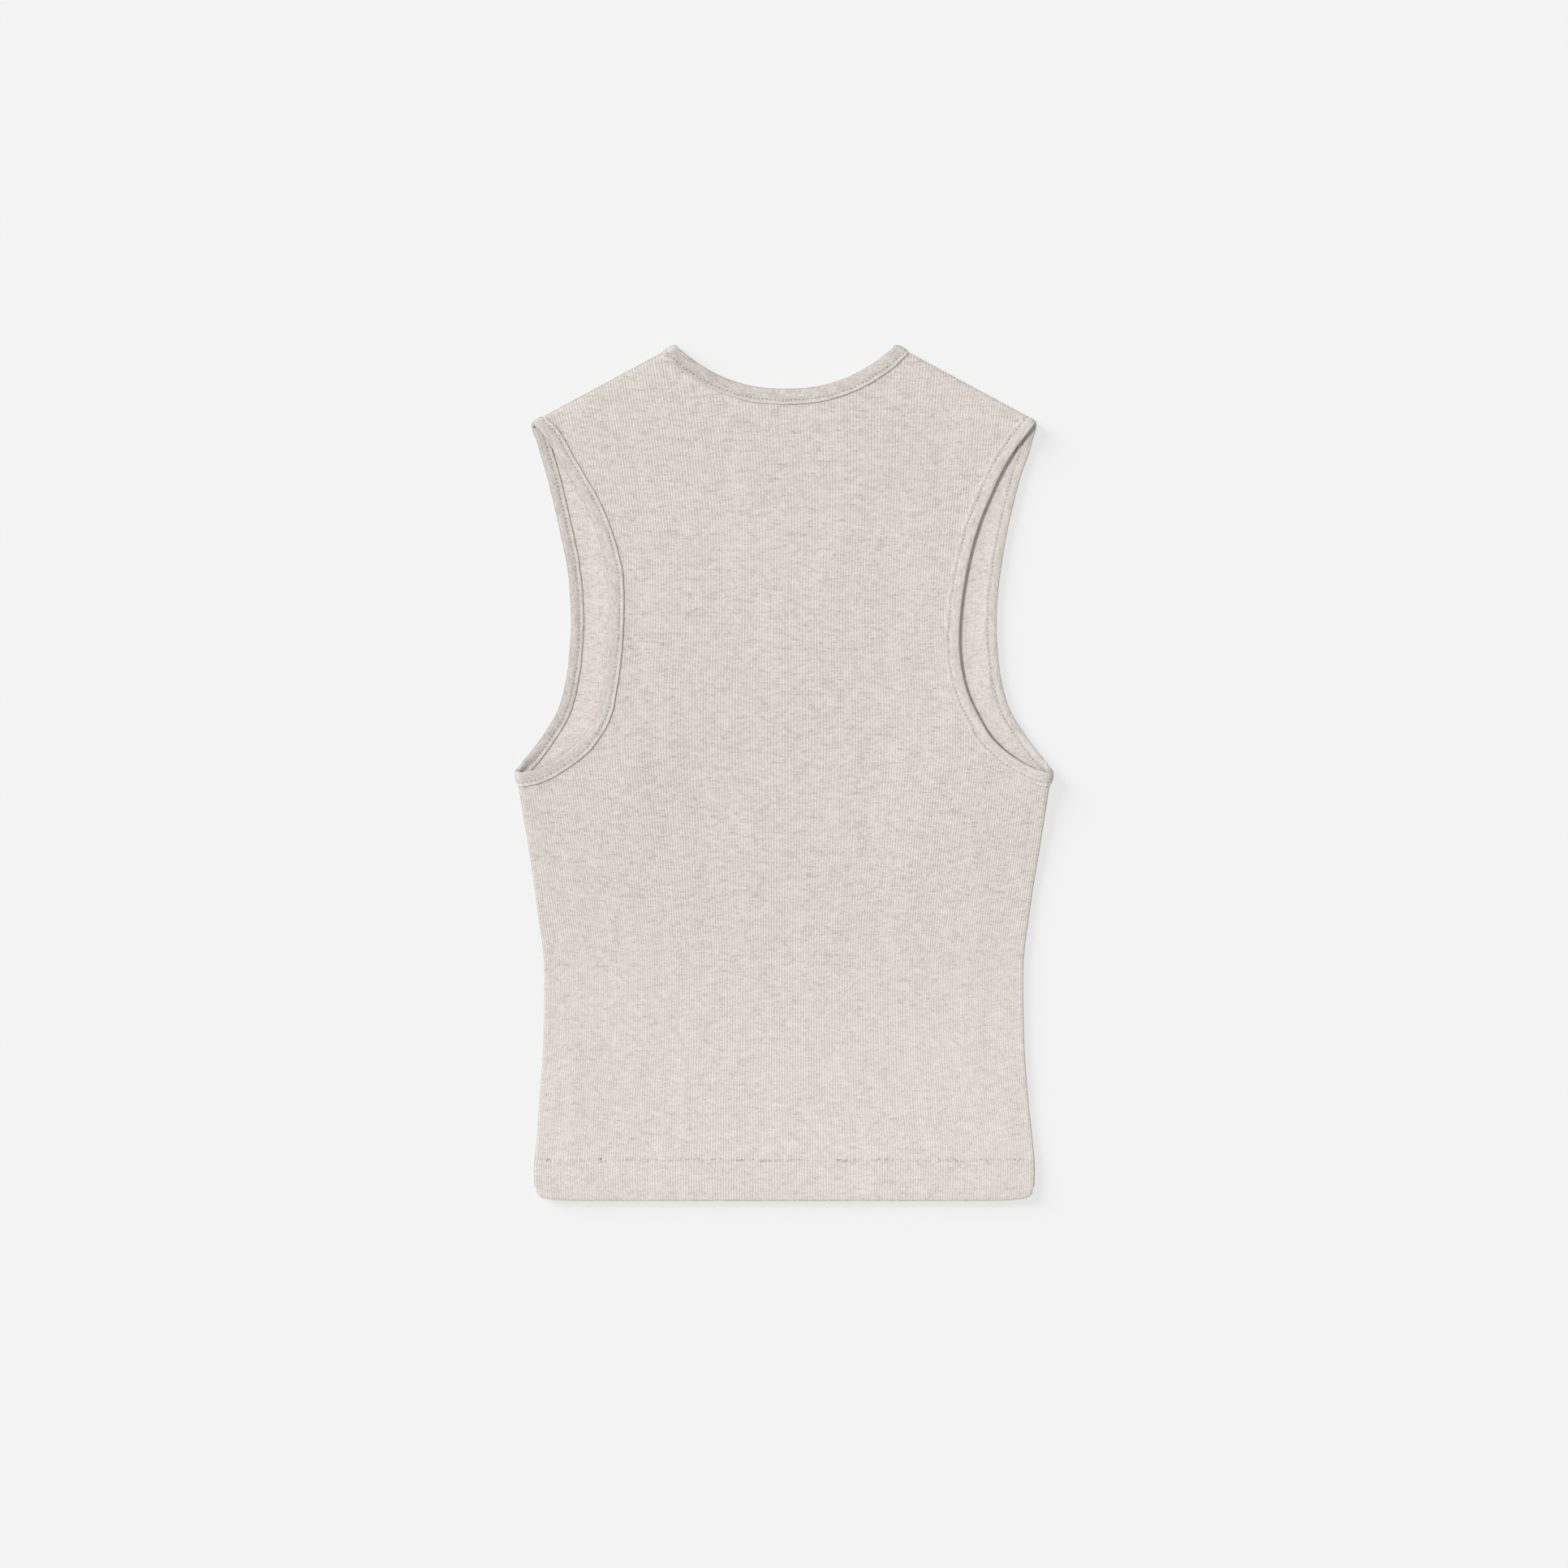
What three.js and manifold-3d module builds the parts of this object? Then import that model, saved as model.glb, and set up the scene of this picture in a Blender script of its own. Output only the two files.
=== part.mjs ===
// A fine-ribbed tank top laid flat on its front, with its back uppermost, in millimetres.
// X runs across it, +Y points to the neck and Z is up from the surface that it lies on.
// Lengths called "up" are measured from the hem's fold towards the neck, and lengths called
// "out" from the garment's middle towards a side.
import * as THREE from "three";
import { mergeVertices } from "three/addons/utils/BufferGeometryUtils.js";
import Module from "manifold-3d";

const wasm = await Module();
wasm.setup();

// Cloth
const WALL = 1.1; // the rib knit
const HEM_WALL = 2.2; // the knit turned up on itself
const RIB_HEIGHT = 0.3;
const RIB_COUNT = 190; // across the back, the rolled sides included
const SIDE_RIBS = 2; // of these, the ribs that roll over each side
const SEAM_GAP = 0.3; // between pieces that are sewn together

// Bindings: a strip folded round a cut edge, with one leg on each face of the cloth
const LEG = 1.0;
const NOSE = 1.0; // the folded strip in front of the cut edge
const ARMHOLE_BINDING_BACK = 9.6; // widths of the folded strip
const ARMHOLE_BINDING_FRONT = 8.2;
const NECK_BINDING = 10.2;
const LEG_LIFT = LEG + SEAM_GAP; // how far a leg holds the cloth off what lies below
const BINDING_HALF = WALL / 2 + SEAM_GAP + LEG; // from the cloth's middle to a leg's face

// Cut
const NECK_OUT = 68.6; // half the neck's width
const NECK_TIP_UP = 546;
const BACK_NECK_DEPTH = 26;
const BACK_NECK_POWER = 2.3; // how square the neckline's curve is
const FRONT_NECK_DEPTH = 96;
const FRONT_NECK_POWER = 2.6;
const SHOULDER_OUT = 159.5;
const SHOULDER_UP = 497.2;
const TOP_SHIFT = 1; // the neck and shoulders lie this far right of the hem's middle
const UNDERARM_OUT = 168.6;
const UNDERARM_UP = 274.8;
const SIDE_SLANT = 0.153; // how far the side leans out for each millimetre up, at the underarm
const HEM_CORNER_OUT = 20; // the rounded corner's reach along the hem
const HEM_CORNER_UP = 8;
const HEM_EDGE_INSET = 0.8; // rounds the outer edge of the hem's fold

// How the cloth lies
const CENTRE_REACH = 45; // the columns of ROWS that end in "In" hold as far out as this
const SIDE_REACH = 105; // and those that end in "Out" from here on
const TOP_ROLL = [0.5, 1]; // shares of the roll over the shoulder that have a row
const PLAIN_COLUMNS = 42; // across a face without ribs
const TURN_STEPS = 6; // parts of a binding's half turn over a shoulder or an underarm
const TIP_BLEND = 15; // length over which a binding swings into line with a seam

// Rows across the garment from the hem to the shoulders. left and right are where the sides
// run, and above the underarm where they would run if no armhole were cut, which leans the
// ribs. lift is 1 where the front rides on a binding's lower leg, and apart is the distance
// between the middles of the front's and the back's cloth.
const ROWS = [
  { up: 0, left: 159.8, right: 160.4, wall: HEM_WALL, liftIn: 0, liftOut: 0, apartIn: 2.5, apartOut: 2.5 },
  { up: 26, left: 159.9, right: 160.6, wall: HEM_WALL, liftIn: 0, liftOut: 0, apartIn: 2.5, apartOut: 2.5 },
  { up: 42, left: 158.1, right: 159.1, wall: WALL, liftIn: 0, liftOut: 0, apartIn: 1.4, apartOut: 1.4 },
  { up: 95, left: 154.6, right: 154.3, wall: WALL, liftIn: 0, liftOut: 0, apartIn: 1.4, apartOut: 1.4 },
  { up: 150, left: 153.9, right: 154.2, wall: WALL, liftIn: 0, liftOut: 0, apartIn: 1.4, apartOut: 1.4 },
  { up: 205, left: 160.6, right: 160.2, wall: WALL, liftIn: 0, liftOut: 0, apartIn: 1.4, apartOut: 1.4 },
  { up: 250, left: 167.7, right: 167.7, wall: WALL, liftIn: 0, liftOut: 1, apartIn: 1.4, apartOut: 4.1 },
  { up: 290, left: 173.8, right: 173.8, wall: WALL, liftIn: 0, liftOut: 1, apartIn: 1.8, apartOut: 4.1 },
  { up: 400, left: 166.0, right: 166.0, wall: WALL, liftIn: 1, liftOut: 1, apartIn: 2.9, apartOut: 3.3 },
  { up: NECK_TIP_UP, left: 190, right: 190, wall: WALL, liftIn: 1, liftOut: 1, apartIn: 4.1, apartOut: 4.1 },
];

// The opening edge of each armhole, from the shoulder to the underarm.
const BACK_ARMHOLE = [
  { up: SHOULDER_UP, left: SHOULDER_OUT - TOP_SHIFT, right: SHOULDER_OUT + TOP_SHIFT },
  { up: 479.7, left: 147.2, right: 147.6 },
  { up: 457.9, left: 134.7, right: 135.4 },
  { up: 432.0, left: 121.8, right: 124.2 },
  { up: 404.8, left: 113.4, right: 117.4 },
  { up: 376.0, left: 112.1, right: 113.3 },
  { up: 345.0, left: 114.0, right: 113.4 },
  { up: 312.0, left: 120.6, right: 123.8 },
  { up: 294.1, left: 132.1, right: 135.2 },
  { up: 281.0, left: 149.8, right: 152.6 },
  { up: UNDERARM_UP, left: UNDERARM_OUT, right: UNDERARM_OUT },
];
const FRONT_ARMHOLE = [
  { up: SHOULDER_UP, left: SHOULDER_OUT - TOP_SHIFT, right: SHOULDER_OUT + TOP_SHIFT },
  { up: 478.1, left: 156.0, right: 156.8 },
  { up: 450.0, left: 148.6, right: 148.4 },
  { up: 415.0, left: 141.0, right: 140.8 },
  { up: 374.1, left: 136.2, right: 136.2 },
  { up: 336.0, left: 139.3, right: 139.2 },
  { up: 311.7, left: 146.1, right: 146.3 },
  { up: 290.9, left: 159.6, right: 160.2 },
  { up: 283.0, left: 166.6, right: 167.0 },
  { up: UNDERARM_UP, left: UNDERARM_OUT, right: UNDERARM_OUT },
];
const BACK_ARMHOLE_STEPS = 24;
const FRONT_ARMHOLE_STEPS = 22;
const BACK_NECK_STEPS = 18;
const FRONT_NECK_STEPS = 24;

const BACK = 1;
const FRONT = -1;
const LEFT = -1;
const RIGHT = 1;

const { lerp, clamp, smoothstep } = THREE.MathUtils;

const SHOULDER_SLOPE = (NECK_TIP_UP - SHOULDER_UP) / (SHOULDER_OUT - NECK_OUT);
const SHOULDER_TILT = Math.atan(SHOULDER_SLOPE);
const SIDE_TILT = Math.atan(SIDE_SLANT);

// The line over which the cloth rolls at the shoulders. It runs on to a peak that the neck
// cuts away.
function topUp(x) {
  return NECK_TIP_UP - SHOULDER_SLOPE * (Math.abs(x - TOP_SHIFT) - NECK_OUT);
}

// The hem's fold, with its rounded corners.
function hemUp(x) {
  const side = x < 0 ? ROWS[0].left : ROWS[0].right;
  const into = clamp((Math.abs(x) - side + HEM_CORNER_OUT) / HEM_CORNER_OUT, 0, 1);
  return HEM_CORNER_UP * (1 - Math.sqrt(1 - into * into));
}

// A row's height at x: the lowest follows the hem and the highest the shoulders.
function rowUp(row, x) {
  if (row === 0) return hemUp(x);
  if (row === ROWS.length - 1) return topUp(x);
  return ROWS[row].up;
}

// A column of ROWS at a place between two rows.
function rowValue(row, share, name) {
  const next = Math.min(row + 1, ROWS.length - 1);
  return lerp(ROWS[row][name], ROWS[next][name], share);
}

// How the two cloths lie at a place on the plan: the middle between them, half the distance
// between their middles, and the wall's thickness.
function layIn(row, share, x) {
  const outwards = smoothstep(Math.abs(x), CENTRE_REACH, SIDE_REACH);
  const wall = rowValue(row, share, "wall");
  const lift = lerp(rowValue(row, share, "liftIn"), rowValue(row, share, "liftOut"), outwards);
  const apart = lerp(rowValue(row, share, "apartIn"), rowValue(row, share, "apartOut"), outwards);
  const front = wall / 2 + lift * LEG_LIFT;
  return { middle: front + apart / 2, radius: apart / 2, wall };
}

function layAt(x, up) {
  let row = 0;
  while (row < ROWS.length - 2 && up > rowUp(row + 1, x)) row += 1;
  const from = rowUp(row, x);
  const share = clamp((up - from) / (rowUp(row + 1, x) - from), 0, 1);
  return layIn(row, share, x);
}

// A solid from points and triangles, turned to face out.
function solidFrom(points, triangles) {
  const make = (faces) =>
    new wasm.Manifold(
      new wasm.Mesh({
        numProp: 3,
        vertProperties: new Float32Array(points.flatMap((p) => [p.x, p.y, p.z])),
        triVerts: new Uint32Array(faces.flat()),
      }),
    );
  const solid = make(triangles);
  return solid.volume() > 0 ? solid : make(triangles.map(([a, b, c]) => [a, c, b]));
}

// Triangles between two rows of point numbers that run the same way, with any counts.
function zip(lower, upper) {
  const triangles = [];
  let i = 0;
  let j = 0;
  while (i < lower.length - 1 || j < upper.length - 1) {
    const nextLower = (i + 1) / (lower.length - 1);
    const nextUpper = (j + 1) / (upper.length - 1);
    if (j === upper.length - 1 || (i < lower.length - 1 && nextLower <= nextUpper)) {
      triangles.push([lower[i], lower[i + 1], upper[j]]);
      i += 1;
    } else {
      triangles.push([lower[i], upper[j + 1], upper[j]]);
      j += 1;
    }
  }
  return triangles;
}

// Columns across a panel. Each has its share of the way across the flat cloth and its share
// of a side's roll. spacing turns an even share into the one to use.
function columnsOf(count, perSide, spacing) {
  return Array.from({ length: count + 1 }, (_, i) => {
    const share = clamp((i - perSide) / (count - 2 * perSide), 0, 1);
    const fromSide = Math.min(i, count - i);
    const roll = Math.max(1 - fromSide / perSide, 0);
    return { side: share < 0.5 ? LEFT : RIGHT, roll, flat: spacing(share) };
  });
}

const evenly = (share) => share;
const closerAtSides = (share) => (1 - Math.cos(Math.PI * share)) / 2;

// A point of a panel. raised is its height over the middle of the cloth, outwards.
function panelPoint(face, rowIndex, topRoll, column, raised) {
  const row = ROWS[rowIndex];
  const sideLay = layIn(rowIndex, 0, SIDE_REACH);
  const rolled = sideLay.radius + row.wall / 2 + RIB_HEIGHT;
  const flatX = lerp(rolled - row.left, row.right - rolled, column.flat);
  const lay = layIn(rowIndex, 0, flatX);
  const reach = lay.radius + raised(lay.wall);
  const endAngle = Math.acos(clamp(SEAM_GAP / 2 / reach, 0, 1));
  const sideAngle = column.roll * endAngle;
  const topAngle = topRoll * endAngle;
  const x = flatX + column.side * reach * Math.sin(sideAngle);
  const hemInset = rowIndex === 0 && reach > lay.radius ? HEM_EDGE_INSET : 0;
  const y = rowUp(rowIndex, x) + hemInset + (reach * Math.sin(topAngle)) / Math.cos(SHOULDER_TILT);
  const z = lay.middle + face * reach * Math.cos(sideAngle) * Math.cos(topAngle);
  return new THREE.Vector3(x, y, z);
}

// A panel before its neck and armholes are cut: an outer and an inner face, joined at the
// hem, the rolled sides and the rolled shoulders.
function uncutPanel(face, outerColumns, ribHeight, innerColumns) {
  const rows = ROWS.map((_, i) => ({ index: i, roll: 0 }));
  for (const roll of TOP_ROLL) rows.push({ index: ROWS.length - 1, roll });
  const points = [];
  const grid = (columns, raised) =>
    rows.map((row) =>
      columns.map((column, i) => {
        points.push(panelPoint(face, row.index, row.roll, column, (wall) => raised(wall, i)));
        return points.length - 1;
      }),
    );
  const outer = grid(outerColumns, (wall, i) => wall / 2 + ribHeight * (i % 2));
  const inner = grid(innerColumns, (wall) => -wall / 2);
  const last = rows.length - 1;
  const triangles = [];
  for (let i = 0; i < last; i += 1) {
    triangles.push(...zip(outer[i], outer[i + 1]));
    triangles.push(...zip(inner[i + 1], inner[i]));
  }
  triangles.push(...zip(inner[0], outer[0]), ...zip(outer[last], inner[last]));
  triangles.push(...zip(outer.map((row) => row[0]), inner.map((row) => row[0])));
  triangles.push(...zip(inner.map((row) => row.at(-1)), outer.map((row) => row.at(-1))));
  return solidFrom(points, triangles);
}

// A run of stations along an opening edge. Each has its place, the way into the cloth, and
// the way over the seam. At the ends the way into the cloth lies along the seam.
function edgeStations(places, tangents, startSeam, endSeam) {
  const lengths = places.map((p, i) => (i ? p.distanceTo(places[i - 1]) : 0));
  const total = lengths.reduce((sum, length) => sum + length, 0);
  let run = 0;
  return places.map((place, i) => {
    run += lengths[i];
    const own = new THREE.Vector2(tangents[i].y, -tangents[i].x);
    const nearStart = 1 - smoothstep(run, 0, TIP_BLEND);
    const nearEnd = 1 - smoothstep(total - run, 0, TIP_BLEND);
    const into = own.lerp(startSeam.into, nearStart).lerp(endSeam.into, nearEnd).normalize();
    return { place, into, turn: 0, over: nearStart > nearEnd ? startSeam.over : endSeam.over };
  });
}

const SHOULDER_SEAM = {
  into: new THREE.Vector2(-Math.cos(SHOULDER_TILT), Math.sin(SHOULDER_TILT)),
  over: new THREE.Vector2(Math.sin(SHOULDER_TILT), Math.cos(SHOULDER_TILT)),
};
const SIDE_SEAM = {
  into: new THREE.Vector2(-Math.sin(SIDE_TILT), -Math.cos(SIDE_TILT)),
  over: new THREE.Vector2(Math.cos(SIDE_TILT), -Math.sin(SIDE_TILT)),
};

// An armhole's edge on one layer, from the shoulder to the underarm, with "out" as x.
function armholeEdge(rows, side, steps) {
  const name = side === LEFT ? "left" : "right";
  const curve = new THREE.SplineCurve(rows.map((row) => new THREE.Vector2(row[name], row.up)));
  const places = curve.getSpacedPoints(steps);
  const tangents = places.map((_, i) => curve.getTangentAt(i / steps));
  return edgeStations(places, tangents, SHOULDER_SEAM, SIDE_SEAM);
}

// A neckline on one layer, from the left tip to the right tip.
function neckEdge(depth, power, steps) {
  const places = [];
  const tangents = [];
  for (let i = 0; i <= steps; i += 1) {
    const across = -Math.cos((Math.PI * i) / steps); // -1 at the left tip, 1 at the right
    const up = NECK_TIP_UP - depth * (1 - Math.abs(across) ** power);
    const slope = (Math.sign(across) * depth * power * Math.abs(across) ** (power - 1)) / NECK_OUT;
    places.push(new THREE.Vector2(TOP_SHIFT + across * NECK_OUT, up));
    tangents.push(new THREE.Vector2(1, slope).normalize());
  }
  const { into, over } = SHOULDER_SEAM;
  const leftTip = { into: new THREE.Vector2(into.x, -into.y), over: new THREE.Vector2(-over.x, over.y) };
  const rightTip = { into: new THREE.Vector2(-into.x, -into.y), over };
  return edgeStations(places, tangents, leftTip, rightTip);
}

// The stations of a whole opening: along the back, over the seam, along the front, and back
// over the other seam.
function openingLoop(backEdge, frontEdge) {
  const over = (station, from, to) =>
    Array.from({ length: TURN_STEPS - 1 }, (_, i) => ({
      ...station,
      turn: lerp(from, to, (i + 1) / TURN_STEPS),
    }));
  return [
    ...backEdge,
    ...over(backEdge.at(-1), 0, Math.PI),
    ...frontEdge.toReversed().map((station) => ({ ...station, turn: Math.PI })),
    ...over(backEdge[0], Math.PI, 0),
  ];
}

// The section of a binding: its distance from the opening edge, and its height over the
// middle of the cloth. The outer leg clears the ribs.
function bindingSection(width, ribHeight) {
  const outer = BINDING_HALF + ribHeight;
  const inner = -BINDING_HALF;
  return [
    { into: width, raised: outer },
    { into: NOSE, raised: outer },
    { into: 0.3 * NOSE, raised: 0.7 * outer },
    { into: 0, raised: 0 },
    { into: 0.3 * NOSE, raised: 0.7 * inner },
    { into: NOSE, raised: inner },
    { into: width, raised: inner },
    { into: width, raised: inner + LEG },
    { into: NOSE, raised: inner + LEG },
    { into: NOSE, raised: outer - LEG },
    { into: width, raised: outer - LEG },
  ];
}

// A binding round a loop of stations. xSign turns "out" into x.
function bindingSolid(loop, backWidth, frontWidth, xSign) {
  const points = [];
  const rings = loop.map(({ place, into, turn, over }) => {
    const onBack = (1 + Math.cos(turn)) / 2;
    const overRibs = RIB_HEIGHT * Math.min(2 * onBack, 1);
    const section = bindingSection(lerp(frontWidth, backWidth, onBack), overRibs);
    return section.map((corner) => {
      const out = place.x + corner.into * into.x;
      const up = place.y + corner.into * into.y;
      const lay = layAt(xSign * out, up);
      const reach = lay.radius + corner.raised;
      const x = xSign * (out + reach * Math.sin(turn) * over.x);
      const y = up + reach * Math.sin(turn) * over.y;
      points.push(new THREE.Vector3(x, y, lay.middle + reach * Math.cos(turn)));
      return points.length - 1;
    });
  });
  const triangles = rings.flatMap((ring, i) => {
    const next = rings[(i + 1) % rings.length];
    return zip([...ring, ring[0]], [...next, next[0]]);
  });
  return solidFrom(points, triangles);
}

// The prism that an opening takes out of a panel, just inside the binding's nose.
function openingPrism(edge, xSign, farPlaces) {
  const beyond = 12;
  const cut = edge.map(({ place, into }) => place.clone().addScaledVector(into, NOSE + SEAM_GAP));
  const first = cut[0].clone().addScaledVector(edge[0].over, beyond);
  const last = cut.at(-1).clone().addScaledVector(edge.at(-1).over, beyond);
  const outline = [first, ...cut, last, ...farPlaces].map((p) => new THREE.Vector2(xSign * p.x, p.y));
  const deep = 30;
  const shape = new THREE.Shape(outline);
  const geometry = new THREE.ExtrudeGeometry(shape, { depth: deep, bevelEnabled: false });
  geometry.translate(0, 0, -deep / 2);
  geometry.deleteAttribute("normal");
  geometry.deleteAttribute("uv");
  const merged = mergeVertices(geometry, 1e-4);
  const position = merged.getAttribute("position");
  const points = [];
  for (let i = 0; i < position.count; i += 1) {
    points.push(new THREE.Vector3().fromBufferAttribute(position, i));
  }
  const index = Array.from(merged.index.array);
  const triangles = [];
  for (let i = 0; i < index.length; i += 3) triangles.push(index.slice(i, i + 3));
  return solidFrom(points, triangles);
}

// Corners of the openings' prisms beyond the cloth.
const ARMHOLE_FAR = [
  new THREE.Vector2(UNDERARM_OUT + 70, UNDERARM_UP - 20),
  new THREE.Vector2(UNDERARM_OUT + 70, NECK_TIP_UP + 20),
];
const NECK_FAR = [
  new THREE.Vector2(NECK_OUT, NECK_TIP_UP + 60),
  new THREE.Vector2(-NECK_OUT, NECK_TIP_UP + 60),
];

function cutPanel(uncut, neck, leftArmhole, rightArmhole) {
  return uncut
    .subtract(openingPrism(neck, 1, NECK_FAR))
    .subtract(openingPrism(leftArmhole, LEFT, ARMHOLE_FAR))
    .subtract(openingPrism(rightArmhole, RIGHT, ARMHOLE_FAR));
}

function meshOf(name, solid, colour) {
  const { vertProperties, triVerts } = solid.getMesh();
  const geometry = new THREE.BufferGeometry();
  geometry.setAttribute("position", new THREE.BufferAttribute(new Float32Array(vertProperties), 3));
  geometry.setIndex(new THREE.BufferAttribute(new Uint32Array(triVerts), 1));
  geometry.computeVertexNormals();
  const material = new THREE.MeshStandardMaterial({ color: colour, roughness: 0.9, metalness: 0 });
  const mesh = new THREE.Mesh(geometry, material);
  mesh.name = name;
  return mesh;
}

const backNeck = neckEdge(BACK_NECK_DEPTH, BACK_NECK_POWER, BACK_NECK_STEPS);
const frontNeck = neckEdge(FRONT_NECK_DEPTH, FRONT_NECK_POWER, FRONT_NECK_STEPS);
const backLeft = armholeEdge(BACK_ARMHOLE, LEFT, BACK_ARMHOLE_STEPS);
const backRight = armholeEdge(BACK_ARMHOLE, RIGHT, BACK_ARMHOLE_STEPS);
const frontLeft = armholeEdge(FRONT_ARMHOLE, LEFT, FRONT_ARMHOLE_STEPS);
const frontRight = armholeEdge(FRONT_ARMHOLE, RIGHT, FRONT_ARMHOLE_STEPS);

const ribColumns = columnsOf(2 * RIB_COUNT, 2 * SIDE_RIBS, evenly);
const plainColumns = columnsOf(PLAIN_COLUMNS, 2, closerAtSides);
const backPanel = cutPanel(
  uncutPanel(BACK, ribColumns, RIB_HEIGHT, plainColumns),
  backNeck,
  backLeft,
  backRight,
);
const frontPanel = cutPanel(
  uncutPanel(FRONT, plainColumns, 0, plainColumns),
  frontNeck,
  frontLeft,
  frontRight,
);
const neckBinding = bindingSolid(openingLoop(backNeck, frontNeck), NECK_BINDING, NECK_BINDING, 1);
const armholeBinding = (backEdge, frontEdge, side) =>
  bindingSolid(openingLoop(backEdge, frontEdge), ARMHOLE_BINDING_BACK, ARMHOLE_BINDING_FRONT, side);

const tankTop = new THREE.Group();
tankTop.add(
  meshOf("front_panel", frontPanel, 0xd3cbc3),
  meshOf("back_panel", backPanel, 0xd8d1c9),
  meshOf("neck_binding", neckBinding, 0xd5cec6),
  meshOf("left_armhole_binding", armholeBinding(backLeft, frontLeft, LEFT), 0xd7d0c8),
  meshOf("right_armhole_binding", armholeBinding(backRight, frontRight, RIGHT), 0xd7d0c8),
);

// The origin is on the surface, below the middle of what the garment covers.
const covered = new THREE.Box3().setFromObject(tankTop);
const centre = covered.getCenter(new THREE.Vector3());
tankTop.position.set(-centre.x, -centre.y, -covered.min.z);

export default tankTop;
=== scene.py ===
import math

import bpy
import numpy as np
from mathutils import Matrix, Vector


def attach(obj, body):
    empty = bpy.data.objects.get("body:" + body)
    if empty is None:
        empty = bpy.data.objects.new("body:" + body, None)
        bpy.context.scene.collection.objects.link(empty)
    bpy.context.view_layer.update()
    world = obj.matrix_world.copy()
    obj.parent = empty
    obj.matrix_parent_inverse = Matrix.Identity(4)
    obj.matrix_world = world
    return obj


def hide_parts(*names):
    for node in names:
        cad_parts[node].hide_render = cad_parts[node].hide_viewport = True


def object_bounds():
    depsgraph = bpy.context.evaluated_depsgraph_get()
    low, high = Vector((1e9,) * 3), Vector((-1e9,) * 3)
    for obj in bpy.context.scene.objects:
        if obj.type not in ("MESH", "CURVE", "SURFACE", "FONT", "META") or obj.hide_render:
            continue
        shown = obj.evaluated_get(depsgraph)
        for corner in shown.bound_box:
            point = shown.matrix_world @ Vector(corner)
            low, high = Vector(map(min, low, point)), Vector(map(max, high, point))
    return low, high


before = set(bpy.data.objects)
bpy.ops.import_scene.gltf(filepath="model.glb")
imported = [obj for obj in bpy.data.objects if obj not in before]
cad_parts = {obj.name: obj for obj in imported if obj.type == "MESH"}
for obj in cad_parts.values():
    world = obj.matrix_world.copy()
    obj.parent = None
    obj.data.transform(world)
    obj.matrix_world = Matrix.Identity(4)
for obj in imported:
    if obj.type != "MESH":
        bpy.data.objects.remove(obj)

bl_info = {
    "name": "Ribbed tank top",
    "version": (1, 0, 0),
    "blender": (4, 5, 0),
    "location": "3D View > Sidebar > Tank Top",
    "description": "A fine-ribbed tank top, laid flat on its front with its back uppermost",
    "category": "Add Mesh",
}

# Everything is in metres. X runs across the garment and Y from the hem to the neck. Lengths
# called "up" are measured from the hem's fold towards the neck, and those called "out" from
# the garment's middle towards a side. Tables are in millimetres.
MM = 0.001
CAD_LOW, CAD_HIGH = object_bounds()
HEM_Y = CAD_LOW.y
BODY = "root"

BACK = 1
FRONT = -1
LEFT = -1
RIGHT = 1

# Cut
NECK_OUT = 68.6 * MM  # half the neck's width
NECK_TIP_UP = 546 * MM
BACK_NECK_DEPTH = 26 * MM
BACK_NECK_POWER = 2.3  # how square the neckline's curve is
FRONT_NECK_DEPTH = 96 * MM
FRONT_NECK_POWER = 2.6
SHOULDER_OUT = 159.5 * MM
SHOULDER_UP = 497.2 * MM
TOP_SHIFT = 1 * MM  # the neck and shoulders lie this far right of the hem's middle
SIDE_SLANT = 0.153  # how far the side leans out for each metre up, at the underarm
SHOULDER_SLOPE = (NECK_TIP_UP - SHOULDER_UP) / (SHOULDER_OUT - NECK_OUT)
SHOULDER_TILT = math.atan(SHOULDER_SLOPE)
SIDE_TILT = math.atan(SIDE_SLANT)

# Where the sides run. Above the underarm it is where they would run if no armhole were cut,
# which leans the ribs.
SIDES = [
    {"up": 0, "left": 159.4, "right": 160.0},
    {"up": 20, "left": 160.2, "right": 160.7},
    {"up": 41, "left": 158.2, "right": 159.1},
    {"up": 62, "left": 157.0, "right": 156.8},
    {"up": 104, "left": 154.0, "right": 153.9},
    {"up": 145, "left": 153.4, "right": 153.2},
    {"up": 187, "left": 158.0, "right": 157.7},
    {"up": 228, "left": 163.9, "right": 164.2},
    {"up": 262, "left": 169.4, "right": 169.4},
    {"up": 290, "left": 173.0, "right": 173.0},
    {"up": 332, "left": 171.5, "right": 171.2},
    {"up": 374, "left": 168.0, "right": 168.0},
    {"up": 416, "left": 169.4, "right": 170.4},
    {"up": 457, "left": 176.2, "right": 175.6},
    {"up": 509, "left": 189.0, "right": 183.0},
    {"up": 560, "left": 204.0, "right": 193.0},
]

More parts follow.
